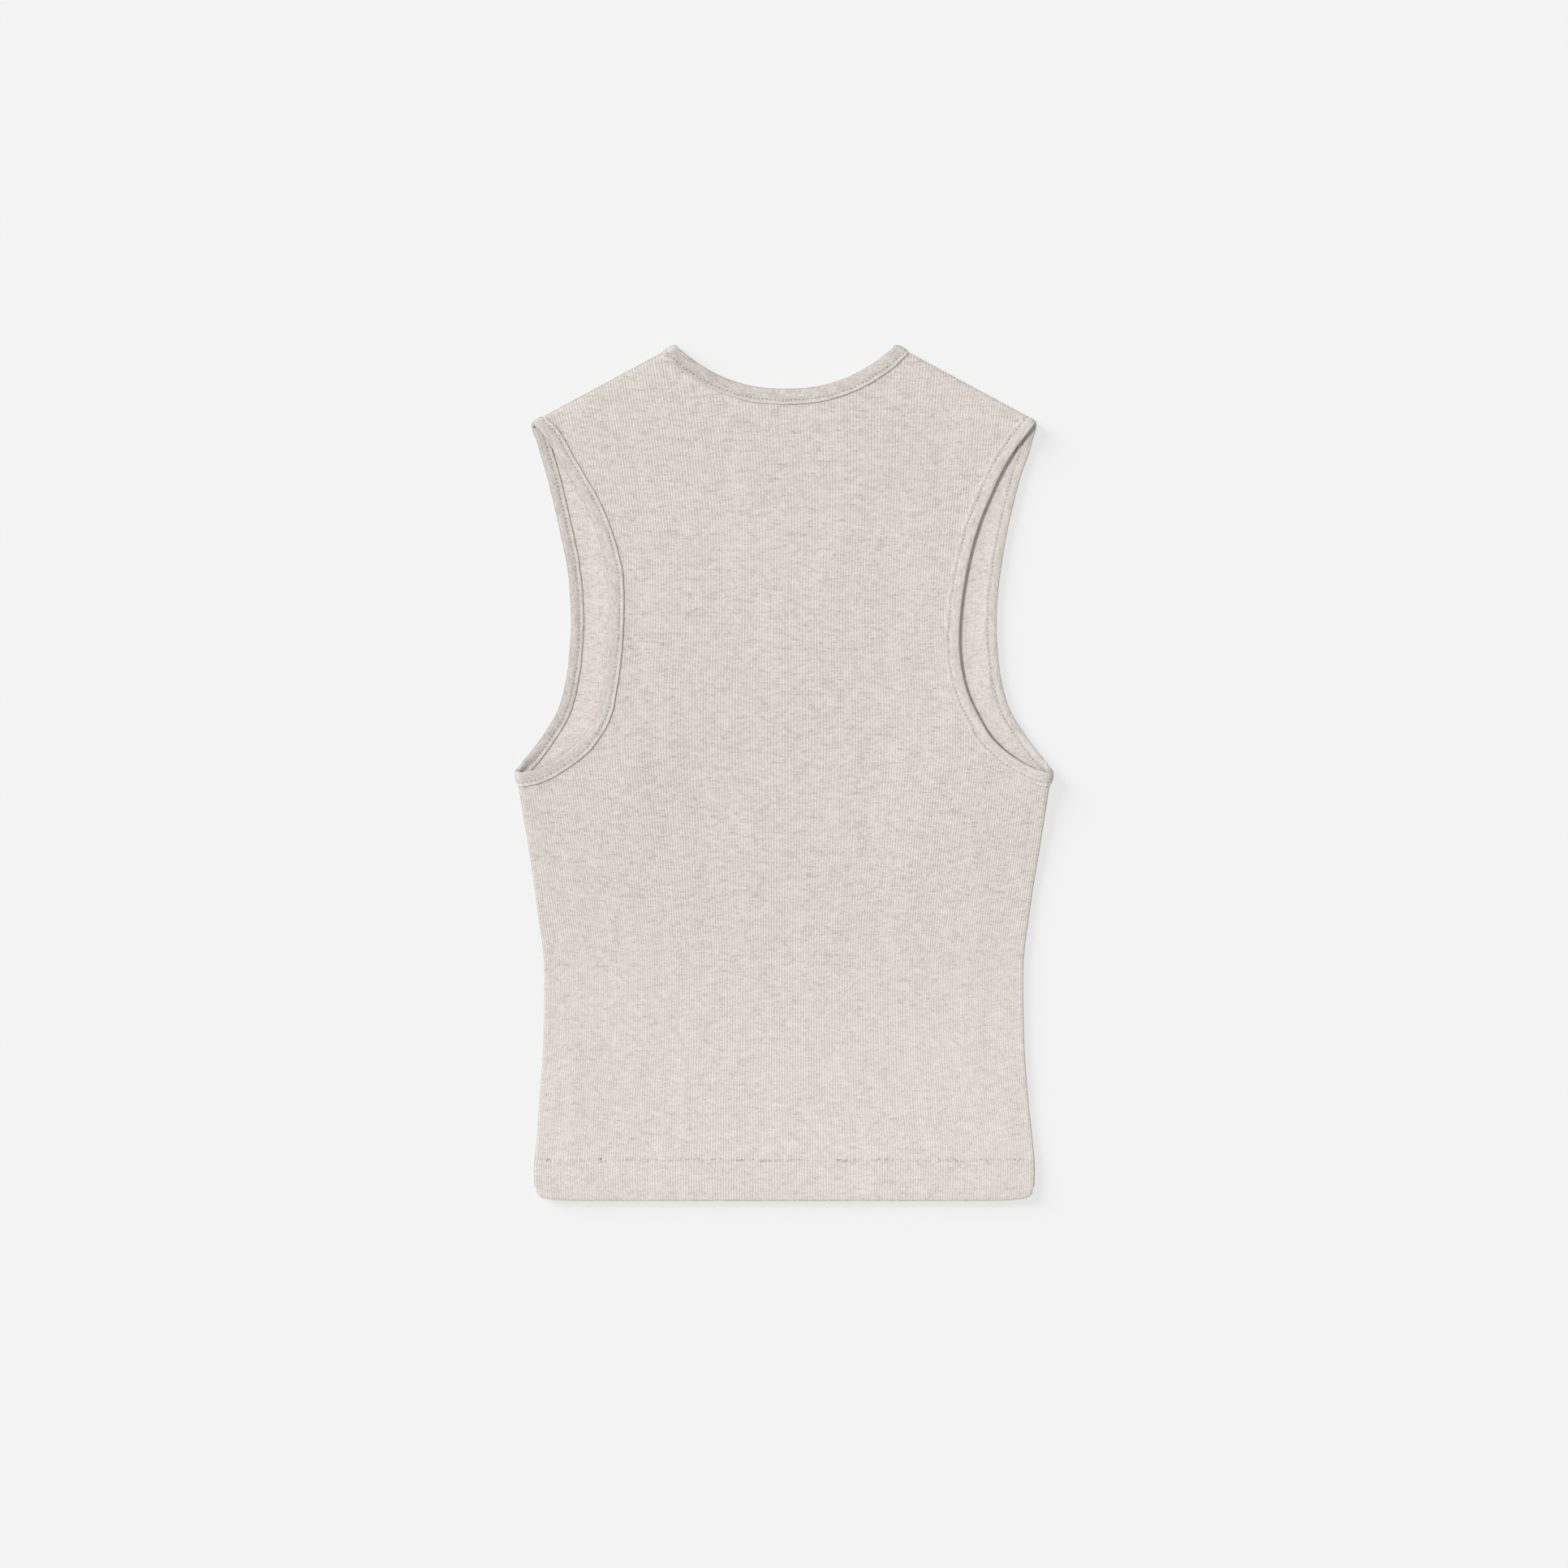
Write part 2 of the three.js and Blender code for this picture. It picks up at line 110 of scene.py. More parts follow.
# How the two cloths lie. Columns that end in "in" hold near the middle and those that end in
# "out" near the sides. lift is how far the front lies off the floor, on a binding's lower
# leg, and apart is the distance between the middles of the front's and the back's cloth.
LAY = [
    {"up": 0, "lift_in": 0, "lift_out": 0, "apart_in": 3.2, "apart_out": 3.4},
    {"up": 27, "lift_in": 0, "lift_out": 0, "apart_in": 3.2, "apart_out": 3.4},
    {"up": 38, "lift_in": 0, "lift_out": 0, "apart_in": 1.7, "apart_out": 2.2},
    {"up": 60, "lift_in": 0, "lift_out": 0, "apart_in": 1.6, "apart_out": 2.2},
    {"up": 205, "lift_in": 0, "lift_out": 0, "apart_in": 1.6, "apart_out": 2.2},
    {"up": 250, "lift_in": 0, "lift_out": 1.3, "apart_in": 1.7, "apart_out": 2.9},
    {"up": 268, "lift_in": 0, "lift_out": 1.3, "apart_in": 1.8, "apart_out": 3.6},
    {"up": 286, "lift_in": 0, "lift_out": 1.3, "apart_in": 1.9, "apart_out": 3.6},
    {"up": 306, "lift_in": 0.4, "lift_out": 1.3, "apart_in": 2.1, "apart_out": 2.5},
    {"up": 330, "lift_in": 0.8, "lift_out": 1.3, "apart_in": 2.3, "apart_out": 2.25},
    {"up": 450, "lift_in": 1.3, "lift_out": 1.3, "apart_in": 3.1, "apart_out": 2.25},
    {"up": 474, "lift_in": 1.3, "lift_out": 1.3, "apart_in": 3.5, "apart_out": 2.6},
    {"up": 490, "lift_in": 1.3, "lift_out": 1.3, "apart_in": 3.7, "apart_out": 3.6},
    {"up": 546, "lift_in": 1.3, "lift_out": 1.3, "apart_in": 4.0, "apart_out": 4.0},
]
CENTRE_REACH = 45 * MM
SIDE_REACH = 105 * MM

# The opening edge of each armhole from the shoulder to the underarm, as out and up.
BACK_ARMHOLES = {
    LEFT: [
        (159.6, 496.2), (152.4, 488.3), (143.5, 472.9), (134.7, 457.9), (126.9, 444.3),
        (118.0, 422.0), (113.4, 404.8), (112.1, 378.8), (113.4, 352.3), (116.0, 331.0),
        (121.2, 309.7), (132.1, 294.1), (144.0, 284.7), (158.0, 276.9), (168.2, 274.6),
    ],
    RIGHT: [
        (159.8, 496.4), (145.6, 477.6), (131.0, 448.5), (124.3, 431.3), (119.1, 412.6),
        (113.4, 378.8), (112.3, 362.0), (113.3, 344.0), (117.0, 327.3), (124.3, 311.2),
        (132.6, 297.2), (147.2, 284.2), (160.0, 277.2), (168.2, 274.6),
    ],
}
FRONT_ARMHOLES = {
    LEFT: [
        (161.4, 495.2), (160.9, 492.4), (159.1, 488.5), (156.0, 478.1), (152.9, 467.7),
        (147.7, 447.0), (143.0, 426.1), (138.8, 405.3), (136.9, 384.5), (136.4, 370.0),
        (137.3, 353.3), (139.9, 332.5), (146.1, 311.7), (152.4, 301.3), (159.6, 290.9),
        (167.0, 281.8), (170.8, 276.8),
    ],
    RIGHT: [
        (161.5, 495.4), (161.1, 492.6), (159.6, 488.5), (156.8, 478.1), (152.9, 467.7),
        (147.2, 447.0), (142.5, 426.1), (139.1, 405.3), (136.4, 381.0), (136.2, 363.7),
        (136.8, 353.3), (139.4, 332.5), (146.1, 311.7), (152.6, 301.3), (159.9, 290.9),
        (167.0, 282.2), (170.8, 277.0),
    ],
}

# The hem's rounded corners: how far the fold rises towards the side, by the distance from it.
HEM_CORNER = [
    {"in": 0, "rise": 8.6},
    {"in": 0.5, "rise": 6.6},
    {"in": 1.3, "rise": 4.7},
    {"in": 3.4, "rise": 2.6},
    {"in": 7.5, "rise": 1.4},
    {"in": 12.7, "rise": 0.7},
    {"in": 18.5, "rise": 0.3},
    {"in": 27, "rise": 0},
]
CORNER_FADE = 26 * MM  # how far up the rows follow the corner

# Soft ridges in the back, and troughs where high is below nought. lean turns a crease's top
# towards +X, in degrees, and long and wide are half its length and width.
BACK_CREASES = [
    {"out": -137, "up": 68, "lean": 2, "long": 62, "wide": 9, "high": 0.55},
    {"out": -112, "up": 96, "lean": -2, "long": 70, "wide": 8, "high": -0.25},
    {"out": -64, "up": 205, "lean": 1, "long": 85, "wide": 10, "high": 0.35},
    {"out": 122, "up": 132, "lean": -1, "long": 110, "wide": 8, "high": 0.4},
    {"out": 141, "up": 52, "lean": 3, "long": 45, "wide": 7, "high": 0.35},
    {"out": 96, "up": 190, "lean": 4, "long": 75, "wide": 9, "high": -0.2},
    {"out": -20, "up": 120, "lean": 0, "long": 95, "wide": 14, "high": -0.15},
    {"out": 34, "up": 262, "lean": 2, "long": 90, "wide": 13, "high": 0.2},
    {"out": -98, "up": 300, "lean": -10, "long": 42, "wide": 8, "high": 0.3},
    {"out": 103, "up": 290, "lean": 12, "long": 46, "wide": 8, "high": 0.3},
    {"out": -104, "up": 440, "lean": -12, "long": 50, "wide": 9, "high": 0.25},
    {"out": 92, "up": 452, "lean": 8, "long": 48, "wide": 10, "high": 0.25},
    {"out": -8, "up": 400, "lean": -2, "long": 80, "wide": 16, "high": 0.15},
]
FRONT_CREASES = [
    {"out": -128, "up": 340, "lean": -14, "long": 36, "wide": 6, "high": 0.3},
    {"out": 128, "up": 322, "lean": 16, "long": 30, "wide": 5, "high": 0.35},
    {"out": 131, "up": 372, "lean": 4, "long": 34, "wide": 5, "high": 0.25},
    {"out": -131, "up": 410, "lean": -6, "long": 30, "wide": 5, "high": 0.2},
]

# Where the armholes' ends stand open, as the folded strip holds the two cloths apart. high is
# how far the back rises there, and edge how far the front's cut edge does.
GAPES = [
    {"out": -160, "up": 493, "wide": 12, "high": 1.8, "edge": 0},
    {"out": 160, "up": 493, "wide": 12, "high": 0.5, "edge": 0},
    {"out": -166, "up": 279, "wide": 14, "high": 2.4, "edge": 2.0},
    {"out": 166, "up": 279, "wide": 14, "high": 2.0, "edge": 1.6},
]

# How finely the meshes are made
PER_RIB = 4  # columns
ROLL_COLUMNS = 6  # of them, those that roll over each side
HEM_ROWS = [1, 4, 9, 15, 21, 24.6, 26.0, 27.2, 28.6, 32, 38, 46]  # up, in millimetres
ROW_STEP = 12 * MM
ROLL_ROWS = 3
FOLD_ROWS = 3
TURNED_ROWS = [1, 9, 18, 25]  # up, in millimetres
PER_STITCH = 4  # a binding's rings
TURN_RINGS = 12  # round the half turn over a seam
TIP_BLEND = 15 * MM  # length over which a binding swings into line with a seam
PANEL_INSET = 2.0 * MM  # from a binding's nose to the panel's cut edge inside it
SEAM_GAP = 0.3 * MM  # between the panels at the sides and shoulders
STRIP_GAP = 0.15 * MM  # between a strip's legs and the panel in it
SQUARENESS = 0.68  # below 1, the folds at the sides are flatter on top and steeper outside
NOSE_SQUARENESS = 0.45  # the same for a binding's fold
LEG_POINTS = 15  # of a binding's section, along a leg
NOSE_POINTS = 9  # and round the fold
CURVE_POINTS = 1500  # of an opening's edge, before they are evenly spaced
STITCH_POINTS = 5  # along a thread

# Small forms
DEEPEST_TROUGH = 0.25 * MM  # of the back's creases
WIDTH_WOBBLE = 0.12 * MM  # how uneven a binding's width is
WIDTH_WAVE = 17 * MM  # and the length of its waves
HEM_MARGIN = 3 * MM  # from a side to the hem's nearest stitch
RIGHT_FOLD_SHADE = 0.35  # how much painted shade the folds on the right get, as a share of that on the left

# Stage
FLOOR_SIZE = 14
FLOOR_DROP = 0.05 * MM  # keeps the floor clear of the cloth


# Small sums


def smoothstep(value, low, high):
    share = np.clip((value - low) / (high - low), 0, 1)
    return share * share * (3 - 2 * share)


def mix(low, high, share):
    return low + (high - low) * share


def through(places, values, at, level=True):
    """A smooth curve through points. A level one never overshoots them."""
    places, values = np.asarray(places, float), np.asarray(values, float)
    rise = np.diff(values) / np.diff(places)
    if level:
        before, after = rise[:-1], rise[1:]
        same_way = before * after > 0
        slopes = np.where(same_way, 2 * before * after / np.where(same_way, before + after, 1), 0)
        slopes = np.concatenate([rise[:1], slopes, rise[-1:]])
    else:
        slopes = np.gradient(values, places)
    at = np.clip(at, places[0], places[-1])
    i = np.clip(np.searchsorted(places, at, side="right") - 1, 0, len(places) - 2)
    width = places[i + 1] - places[i]
    t = (at - places[i]) / width
    ends = values[i] * (1 + 2 * t) * (1 - t) ** 2 + values[i + 1] * t * t * (3 - 2 * t)
    return ends + width * (slopes[i] * t * (1 - t) ** 2 - slopes[i + 1] * t * t * (1 - t))


def read(table, name, up):
    """A column of a table at a height, in metres."""
    return MM * through([row["up"] for row in table], [row[name] for row in table], up / MM)


def wobble(run, length, seed):
    """An uneven wave along a run, from about -1 to 1, with waves of about this length."""
    random = np.random.default_rng(seed)
    total = np.zeros_like(run)
    for stretch in (0.55, 0.83, 1.0, 1.37, 2.1):
        total += np.sin(2 * math.pi * run / (length * stretch) + random.uniform(0, 2 * math.pi))
    return total / 2.6


# How the garment lies


def top_up(x):
    """The line over which the cloth rolls at the shoulders."""
    return NECK_TIP_UP - SHOULDER_SLOPE * (np.abs(x - TOP_SHIFT) - NECK_OUT)


def hem_up(x):
    """The hem's fold, with its rounded corners."""
    side = np.where(x < 0, SIDES[0]["left"], SIDES[0]["right"]) * MM
    inward = np.clip(side - np.abs(x), 0, 1)
    places = [row["in"] * MM for row in HEM_CORNER]
    return through(places, [row["rise"] * MM for row in HEM_CORNER], inward)


def creases(table, x, up):
    """The height of the soft ridges and troughs at a place."""
    total = np.zeros(np.broadcast(x, up).shape)
    for crease in table:
        lean = math.radians(crease["lean"])
        dx, dy = x - crease["out"] * MM, up - crease["up"] * MM
        along = dx * math.sin(lean) + dy * math.cos(lean)
        across = dx * math.cos(lean) - dy * math.sin(lean)
        fade = np.exp(-((along / (crease["long"] * MM)) ** 2))
        total += crease["high"] * MM * fade * np.exp(-((across / (crease["wide"] * MM)) ** 2))
    return total


def back_creases(x, up):
    """The back's ridges and troughs, none deeper than the cloth below allows."""
    return np.maximum(creases(BACK_CREASES, x, up), -DEEPEST_TROUGH)


def gape_at(x, up, column="high"):
    """How much higher the armholes' ends stand than the cloth around them."""
    total = np.zeros(np.broadcast(x, up).shape)
    for gape in GAPES:
        away = np.hypot(x - gape["out"] * MM, up - gape["up"] * MM)
        total += gape[column] * MM * np.exp(-((away / (gape["wide"] * MM)) ** 2))
    return total


def front_gape(x, up, from_edge):
    """How much higher the front's cut edge stands at the armholes' ends."""
    return gape_at(x, up, "edge") * (1 - smoothstep(from_edge, 1 * MM, 6 * MM))


def lay_at(x, up):
    """The height midway between the two cloths' middles, and how far each is from it."""
    outwards = smoothstep(np.abs(x), CENTRE_REACH, SIDE_REACH)
    lift = mix(read(LAY, "lift_in", up), read(LAY, "lift_out", up), outwards)
    apart = mix(read(LAY, "apart_in", up), read(LAY, "apart_out", up), outwards)
    wall = bpy.context.scene.tank_top_cloth.wall
    return wall / 2 + lift + apart / 2, apart / 2


# The openings' edges. Each is a dict of arrays: the places along it in "out" and "up", the way
# into the cloth and the way over the seam at each.


def edge_from(places, start_seam, end_seam):
    steps = np.linalg.norm(np.diff(places, axis=0), axis=1)
    run = np.concatenate([[0], np.cumsum(steps)])
    tangent = np.gradient(places, run, axis=0)
    tangent /= np.linalg.norm(tangent, axis=1)[:, None]
    own = np.stack([tangent[:, 1], -tangent[:, 0]], axis=1)
    near_start = (1 - smoothstep(run, 0, TIP_BLEND))[:, None]
    near_end = (1 - smoothstep(run[-1] - run, 0, TIP_BLEND))[:, None]
    into = mix(mix(own, start_seam["into"], near_start), end_seam["into"], near_end)
    into /= np.linalg.norm(into, axis=1)[:, None]
    over = np.where(near_start > near_end, start_seam["over"], end_seam["over"])
    return {"place": places, "into": into, "over": over}


def seam(into, over):
    return {"into": np.array(into), "over": np.array(over)}


COS, SIN = math.cos(SHOULDER_TILT), math.sin(SHOULDER_TILT)
SHOULDER_SEAM = seam((-COS, SIN), (SIN, COS))
SIDE_SEAM = seam((-math.sin(SIDE_TILT), -math.cos(SIDE_TILT)), (math.cos(SIDE_TILT), -math.sin(SIDE_TILT)))
LEFT_TIP = seam((-COS, -SIN), (-SIN, COS))
RIGHT_TIP = seam((COS, -SIN), (SIN, COS))


def even_places(places, step):
    """The same curve with its places evenly spaced."""
    lengths = np.linalg.norm(np.diff(places, axis=0), axis=1)
    run = np.concatenate([[0], np.cumsum(lengths)])
    at = np.linspace(0, run[-1], max(round(run[-1] / step), 2) + 1)
    return np.stack([np.interp(at, run, places[:, i]) for i in (0, 1)], axis=1)


def armhole_edge(table, side, step):
    knots = np.array(table[side]) * MM
    run = np.concatenate([[0], np.cumsum(np.linalg.norm(np.diff(knots, axis=0), axis=1))])
    dense = np.linspace(0, run[-1], CURVE_POINTS)
    curve = np.stack([through(run, knots[:, i], dense, level=False) for i in (0, 1)], axis=1)
    return edge_from(even_places(curve, step), SHOULDER_SEAM, SIDE_SEAM)


def neck_edge(depth, power, step):
    across = -np.cos(np.linspace(0, math.pi, CURVE_POINTS))
    up = NECK_TIP_UP - depth * (1 - np.abs(across) ** power)
    curve = np.stack([TOP_SHIFT + across * NECK_OUT, up], axis=1)
    return edge_from(even_places(curve, step), LEFT_TIP, RIGHT_TIP)


def inside_of(edge, side, x, up):
    """How far places lie from an opening's edge, below nought in the opening."""
    beyond = 30 * MM
    first = edge["place"][0] + beyond * edge["over"][0]
    last = edge["place"][-1] + beyond * edge["over"][-1]
    line = np.concatenate([[first], edge["place"], [last]])
    starts, ways = line[:-1], np.diff(line, axis=0)
    out = x * side
    best = np.full(out.shape, np.inf)
    signed = np.zeros(out.shape)
    for start, way in zip(starts, ways):
        dx, dy = out - start[0], up - start[1]
        t = np.clip((dx * way[0] + dy * way[1]) / (way @ way), 0, 1)
        away = np.hypot(dx - t * way[0], dy - t * way[1])
        turn = dx * way[1] - dy * way[0]
        nearer = away < best
        best = np.where(nearer, away, best)
        signed = np.where(nearer, np.sign(turn) * away, signed)
    return signed


# Meshes


def trim(points, marks, quads, inside):
    """The grid's faces where inside is above nought, cut along the line where it is nought."""
    kept = inside > 0
    count = kept[quads].sum(axis=1)
    faces = quads[count == 4].tolist()
    new_points, new_marks, cuts = [], [], {}

    def cut(a, b):
        a, b = min(a, b), max(a, b)
        if (a, b) not in cuts:
            share = min(max(inside[a] / (inside[a] - inside[b]), 0.02), 0.98)
            cuts[a, b] = len(points) + len(new_points)
            new_points.append(mix(points[a], points[b], share))
            new_marks.append(mix(marks[a], marks[b], share))
        return cuts[a, b]

    for quad in quads[(count > 0) & (count < 4)].tolist():
        face = []
        for a, b in zip(quad, quad[1:] + quad[:1]):
            if kept[a]:
                face.append(a)
            if kept[a] != kept[b]:
                face.append(cut(a, b))
        faces.append(face)
    points = np.concatenate([points, new_points])
    marks = np.concatenate([marks, new_marks])
    return points, marks, faces


def mesh_object(name, points, faces, marks=None):
    """A smooth object from points and faces, with named numbers on its points."""
    used = np.unique(np.concatenate([np.asarray(face) for face in faces]))
    order = np.zeros(len(points), int)
    order[used] = np.arange(len(used))
    mesh = bpy.data.meshes.new(name)
    mesh.from_pydata(points[used].tolist(), [], [order[face].tolist() for face in faces])
    for mark, values in (marks or {}).items():
        layer = mesh.attributes.new(mark, "FLOAT", "POINT")
        layer.data.foreach_set("value", np.asarray(values)[used].astype(np.float32))
    mesh.shade_smooth()
    piece = bpy.data.objects.new(name, mesh)
    bpy.context.collection.objects.link(piece)
    return piece


def apply_all(piece):
    for other in bpy.context.selected_objects:
        other.select_set(False)
    piece.select_set(True)
    bpy.context.view_layer.objects.active = piece
    for modifier in list(piece.modifiers):
        bpy.ops.object.modifier_apply(modifier=modifier.name)
    piece.select_set(False)


def grid_quads(rows, columns, closed=False):
    """Faces between neighbouring rows and columns of points, facing away from a right-hand
    turn from columns to rows. Closed grids join their last row and column to the first."""
    row_count = rows if closed else rows - 1
    column_count = columns if closed else columns - 1
    r, c = np.meshgrid(np.arange(row_count), np.arange(column_count), indexing="ij")
    next_r, next_c = (r + 1) % rows, (c + 1) % columns
    corners = [r * columns + c, r * columns + next_c, next_r * columns + next_c, next_r * columns + c]
    return np.stack(corners, axis=-1).reshape(-1, 4)


# The panels


def hem_pucker(x, up, cloth):
    """How far the hem's stitching draws the cloth in, with uneven dimples at the needle holes."""
    stitch = x / cloth.hem_pitch
    random = np.random.default_rng(31)
    pull = random.uniform(0.1, 1.0, 512) ** 1.6
    strength = pull[np.floor(stitch + 0.5).astype(int) + 256]
    hole = np.cos(math.pi * (stitch - np.floor(stitch + 0.5))) ** 6
    near = np.exp(-(((up - cloth.hem_depth) / (1.1 * MM)) ** 2))
    return near * (0.12 * MM + 0.42 * MM * strength * hole)


def panel_points(cloth, face):
    """A panel's middle surface before its openings are cut: points, rib numbers, lengths
    along the ribs, and which part of the surface each point is on."""
    columns = PER_RIB * cloth.ribs + 1
    index = np.arange(columns)
    share = np.clip((index - ROLL_COLUMNS) / (columns - 1 - 2 * ROLL_COLUMNS), 0, 1)
    share = share - cloth.crowding * np.sin(2 * math.pi * share) / (2 * math.pi)
    roll = np.clip(1 - np.minimum(index, columns - 1 - index) / ROLL_COLUMNS, 0, 1)
    side = np.where(share < 0.5, LEFT, RIGHT)
    rib = 0.5 + 0.5 * np.cos(2 * math.pi * index / PER_RIB)

    fold_radius = (cloth.wall + cloth.turned_gap) / 2
    body_rows = round((NECK_TIP_UP - HEM_ROWS[-1] * MM) / ROW_STEP)
    plain = np.linspace(HEM_ROWS[-1] * MM, NECK_TIP_UP, body_rows)
    ups = [up * MM for up in reversed(TURNED_ROWS)]
    folds = [math.pi] * len(ups)
    ups += [0.0] * FOLD_ROWS
    folds += [math.pi * (1 - (i + 1) / (FOLD_ROWS + 1)) for i in range(FOLD_ROWS)]
    ups += [up * MM for up in HEM_ROWS[:-1]] + plain.tolist()
    folds += [0.0] * (len(ups) - len(folds))
    tops = [0.0] * len(ups)
    ups += [NECK_TIP_UP] * ROLL_ROWS
    folds += [0.0] * ROLL_ROWS
    tops += [(i + 1) / ROLL_ROWS for i in range(ROLL_ROWS)]
    level, fold, top = (np.array(values)[:, None] for values in (ups, folds, tops))

    up = np.repeat(level, columns, axis=1)
    rolled_out = np.sin(0.5 * math.pi * roll) ** SQUARENESS
    fade = (1 - np.clip(level / CORNER_FADE, 0, 1)) ** 2
    for _ in range(5):
        radius = lay_at(np.array(SIDE_REACH), up)[1]
        rolled = radius + cloth.wall / 2 + cloth.rib_height
        left = rolled - read(SIDES, "left", up)
        right = read(SIDES, "right", up) - rolled
        x = mix(left, right, share[None, :])
        hem = hem_up(x + side * rolled_out * rolled)
        up = level * top_up(x) / NECK_TIP_UP + hem * fade
    middle, radius = lay_at(x, up)

    relief = cloth.rib_height * (rib if face == BACK else 0.6 * (rib - 1))[None, :]
    lift = back_creases(x, up) if face == BACK else creases(FRONT_CREASES, x, up)
    on_show = np.where(fold == 0, 1.0, 0.0)
    dip = hem_pucker(x, up, cloth) * on_show
    turned_in = fold_radius * (1 - np.cos(fold))
    reach = radius + relief * (1 - 0.5 * (1 - on_show)) - turned_in - dip * np.cos(0.5 * math.pi * roll)
    end_angle = np.arccos(np.clip(SEAM_GAP / 2 / reach, 0, 1))
    side_angle, top_angle = roll[None, :] * end_angle, top * end_angle
    squared_out = np.sin(side_angle) ** SQUARENESS
    squared_up = np.cos(side_angle) ** SQUARENESS
    x_out = x + side * reach * squared_out
    drop = fold_radius * np.sin(fold) - (fold_radius + cloth.wall / 2) * fade
    y = up - drop + reach * np.sin(top_angle) / COS
    z = middle + (face * reach + lift) * squared_up * np.cos(top_angle)
    points = np.stack([x_out, y + HEM_Y, z], axis=-1).reshape(-1, 3)
    wale = np.repeat(index[None, :] / PER_RIB, len(ups), axis=0)
    course = np.where(fold > 0, -y, y)
    facing = squared_up * np.cos(top_angle)
    left_more = np.where(side == LEFT, 1.0, RIGHT_FOLD_SHADE)
    # Painted shade on the rolled folds: in full on the left, which faces the light, less on the right
    folded = left_more * np.maximum(np.abs(np.sin(side_angle)), np.sin(top_angle)) + 0 * wale
    marks = np.stack([wale, course, folded, facing + 0 * wale], axis=-1).reshape(-1, 4)
    return points, marks, len(ups), columns


def flat_area(points, faces):
    """The plan area of faces, which is the flat cut's on cloth that lies flat."""
    total = 0.0
    for face in faces:
        x, y = points[face, 0], points[face, 1]
        total += abs(np.dot(x, np.roll(y, -1)) - np.dot(y, np.roll(x, -1))) / 2
    return float(total)


def build_panel(name, cloth, face, neck, armholes, materials):
    points, marks, rows, columns = panel_points(cloth, face)
    quads = grid_quads(rows, columns)
    if face == FRONT:
        quads = quads[:, ::-1]
    x, up = points[:, 0], points[:, 1] - HEM_Y
    from_armhole = np.minimum(*(inside_of(edge, side, x, up) for side, edge in armholes.items()))
    inside = np.minimum(inside_of(neck, RIGHT, x, up), from_armhole)
    gape = gape_at(x, up)
    if face == FRONT:
        gape = mix(gape, front_gape(x, up, from_armhole), marks[:, 3])
    points[:, 2] += gape
    points, marks, faces = trim(points, marks, quads, inside - PANEL_INSET)
    area = flat_area(points, faces)
    names = ("wale", "course", "folded")
    piece = mesh_object(name, points, faces, {mark: marks[:, i] for i, mark in enumerate(names)})
    for material in materials:
        piece.data.materials.append(material)
    wall = piece.modifiers.new("Wall", "SOLIDIFY")
    wall.thickness = cloth.wall
    wall.offset = 0
    wall.use_rim = True
    wall.material_offset = 1
    wall.material_offset_rim = 1
    apply_all(piece)
    return piece, area


# The bindings: a strip folded round an opening's edge, on both layers


class Strip:
    """A folded strip round an opening. A place on it is given by its run along the strip, its
    distance from the folded edge and its height over the middle of the cloth."""

    def __init__(self, back, front, side, back_width, front_width, binding):
        self.side = side
        turn = np.linspace(0, math.pi, TURN_RINGS + 1)[1:-1]
        names = ("place", "into", "over")
        parts = {name: [] for name in names}
        turns = []
        for edge, angle, order, at in ((back, 0, 1, -1), (front, math.pi, -1, 0)):
            ring_turns = turn[::order]
            share = (1 - np.cos(ring_turns))[:, None] / 2
            for name in names:
                parts[name].append(edge[name][::order])
                parts[name].append(mix(back[name][at], front[name][at], share))
            turns.append(np.full(len(edge["place"]), float(angle)))
            turns.append(ring_turns)
        self.parts = {name: np.concatenate(parts[name]) for name in names}
        self.turn = np.concatenate(turns)
        self.width = mix(front_width, back_width, (1 + np.cos(self.turn)) / 2)
        self.length = 0.0
        self.run = np.arange(len(self.turn), dtype=float)
        line = self.point(self.run, self.width * 0.6, np.full(len(self.run), binding.leg))
        steps = np.linalg.norm(np.roll(line, -1, axis=0) - line, axis=1)
        self.run = np.concatenate([[0], np.cumsum(steps)[:-1]])
        self.length = float(steps.sum())
        self.stitches = round(self.length / binding.stitch_pitch)

    def read(self, values, run):
        """Values at runs, round the closed strip."""
        period = self.length or float(len(self.turn))
        return np.interp(run % period, np.append(self.run, period), np.append(values, values[0]))

    def width_at(self, run):
        return self.read(self.width, run)

    def uneven_width(self, run, seed):
        return self.width_at(run) + WIDTH_WOBBLE * wobble(run, WIDTH_WAVE, seed + 7)

    def on_back(self, run):
        return (1 + np.cos(self.read(self.turn, run))) / 2

    def lip_share(self, run):
        """How much of a lip the free edge has, which is pressed flat where it faces left."""
        faces_left = np.clip(-self.side * self.read(self.parts["into"][:, 0], run), 0, 1)
        return 1 - 0.85 * faces_left

    def tuck(self, across, width):
        """How much less the strip reaches over a seam near its two edges, which rounds it."""
        by_fold = 1.1 * MM * np.clip(1 - across / (4.2 * MM), 0, 1) ** 2
        by_edge = 1.0 * MM * np.clip(1 - (width - across) / (3 * MM), 0, 1) ** 2
        return by_fold + by_edge

    def point(self, run, across, raised):
        place, into, over = (
            [self.read(self.parts[name][:, i], run) for i in (0, 1)] for name in ("place", "into", "over")
        )
        turn = self.read(self.turn, run)
        out = place[0] + across * into[0]
        up = place[1] + across * into[1]
        x_flat = self.side * out
        middle, radius = lay_at(x_flat, up)
        reach = radius + raised
        beyond = (reach - self.tuck(across, self.width_at(run))) * np.sin(turn)
        x = self.side * (out + beyond * over[0])
        y = up + beyond * over[1]
        facing = np.cos(turn)
        lift = np.clip(facing, 0, 1) * back_creases(x_flat, up)
        lift = lift + np.clip(-facing, 0, 1) * creases(FRONT_CREASES, x_flat, up)
        back_share = np.clip(1 + facing, 0, 1)
        lift += mix(front_gape(x_flat, up, across), gape_at(x_flat, up), back_share)
        return np.stack([x, y + HEM_Y, middle + reach * facing + lift], axis=-1)


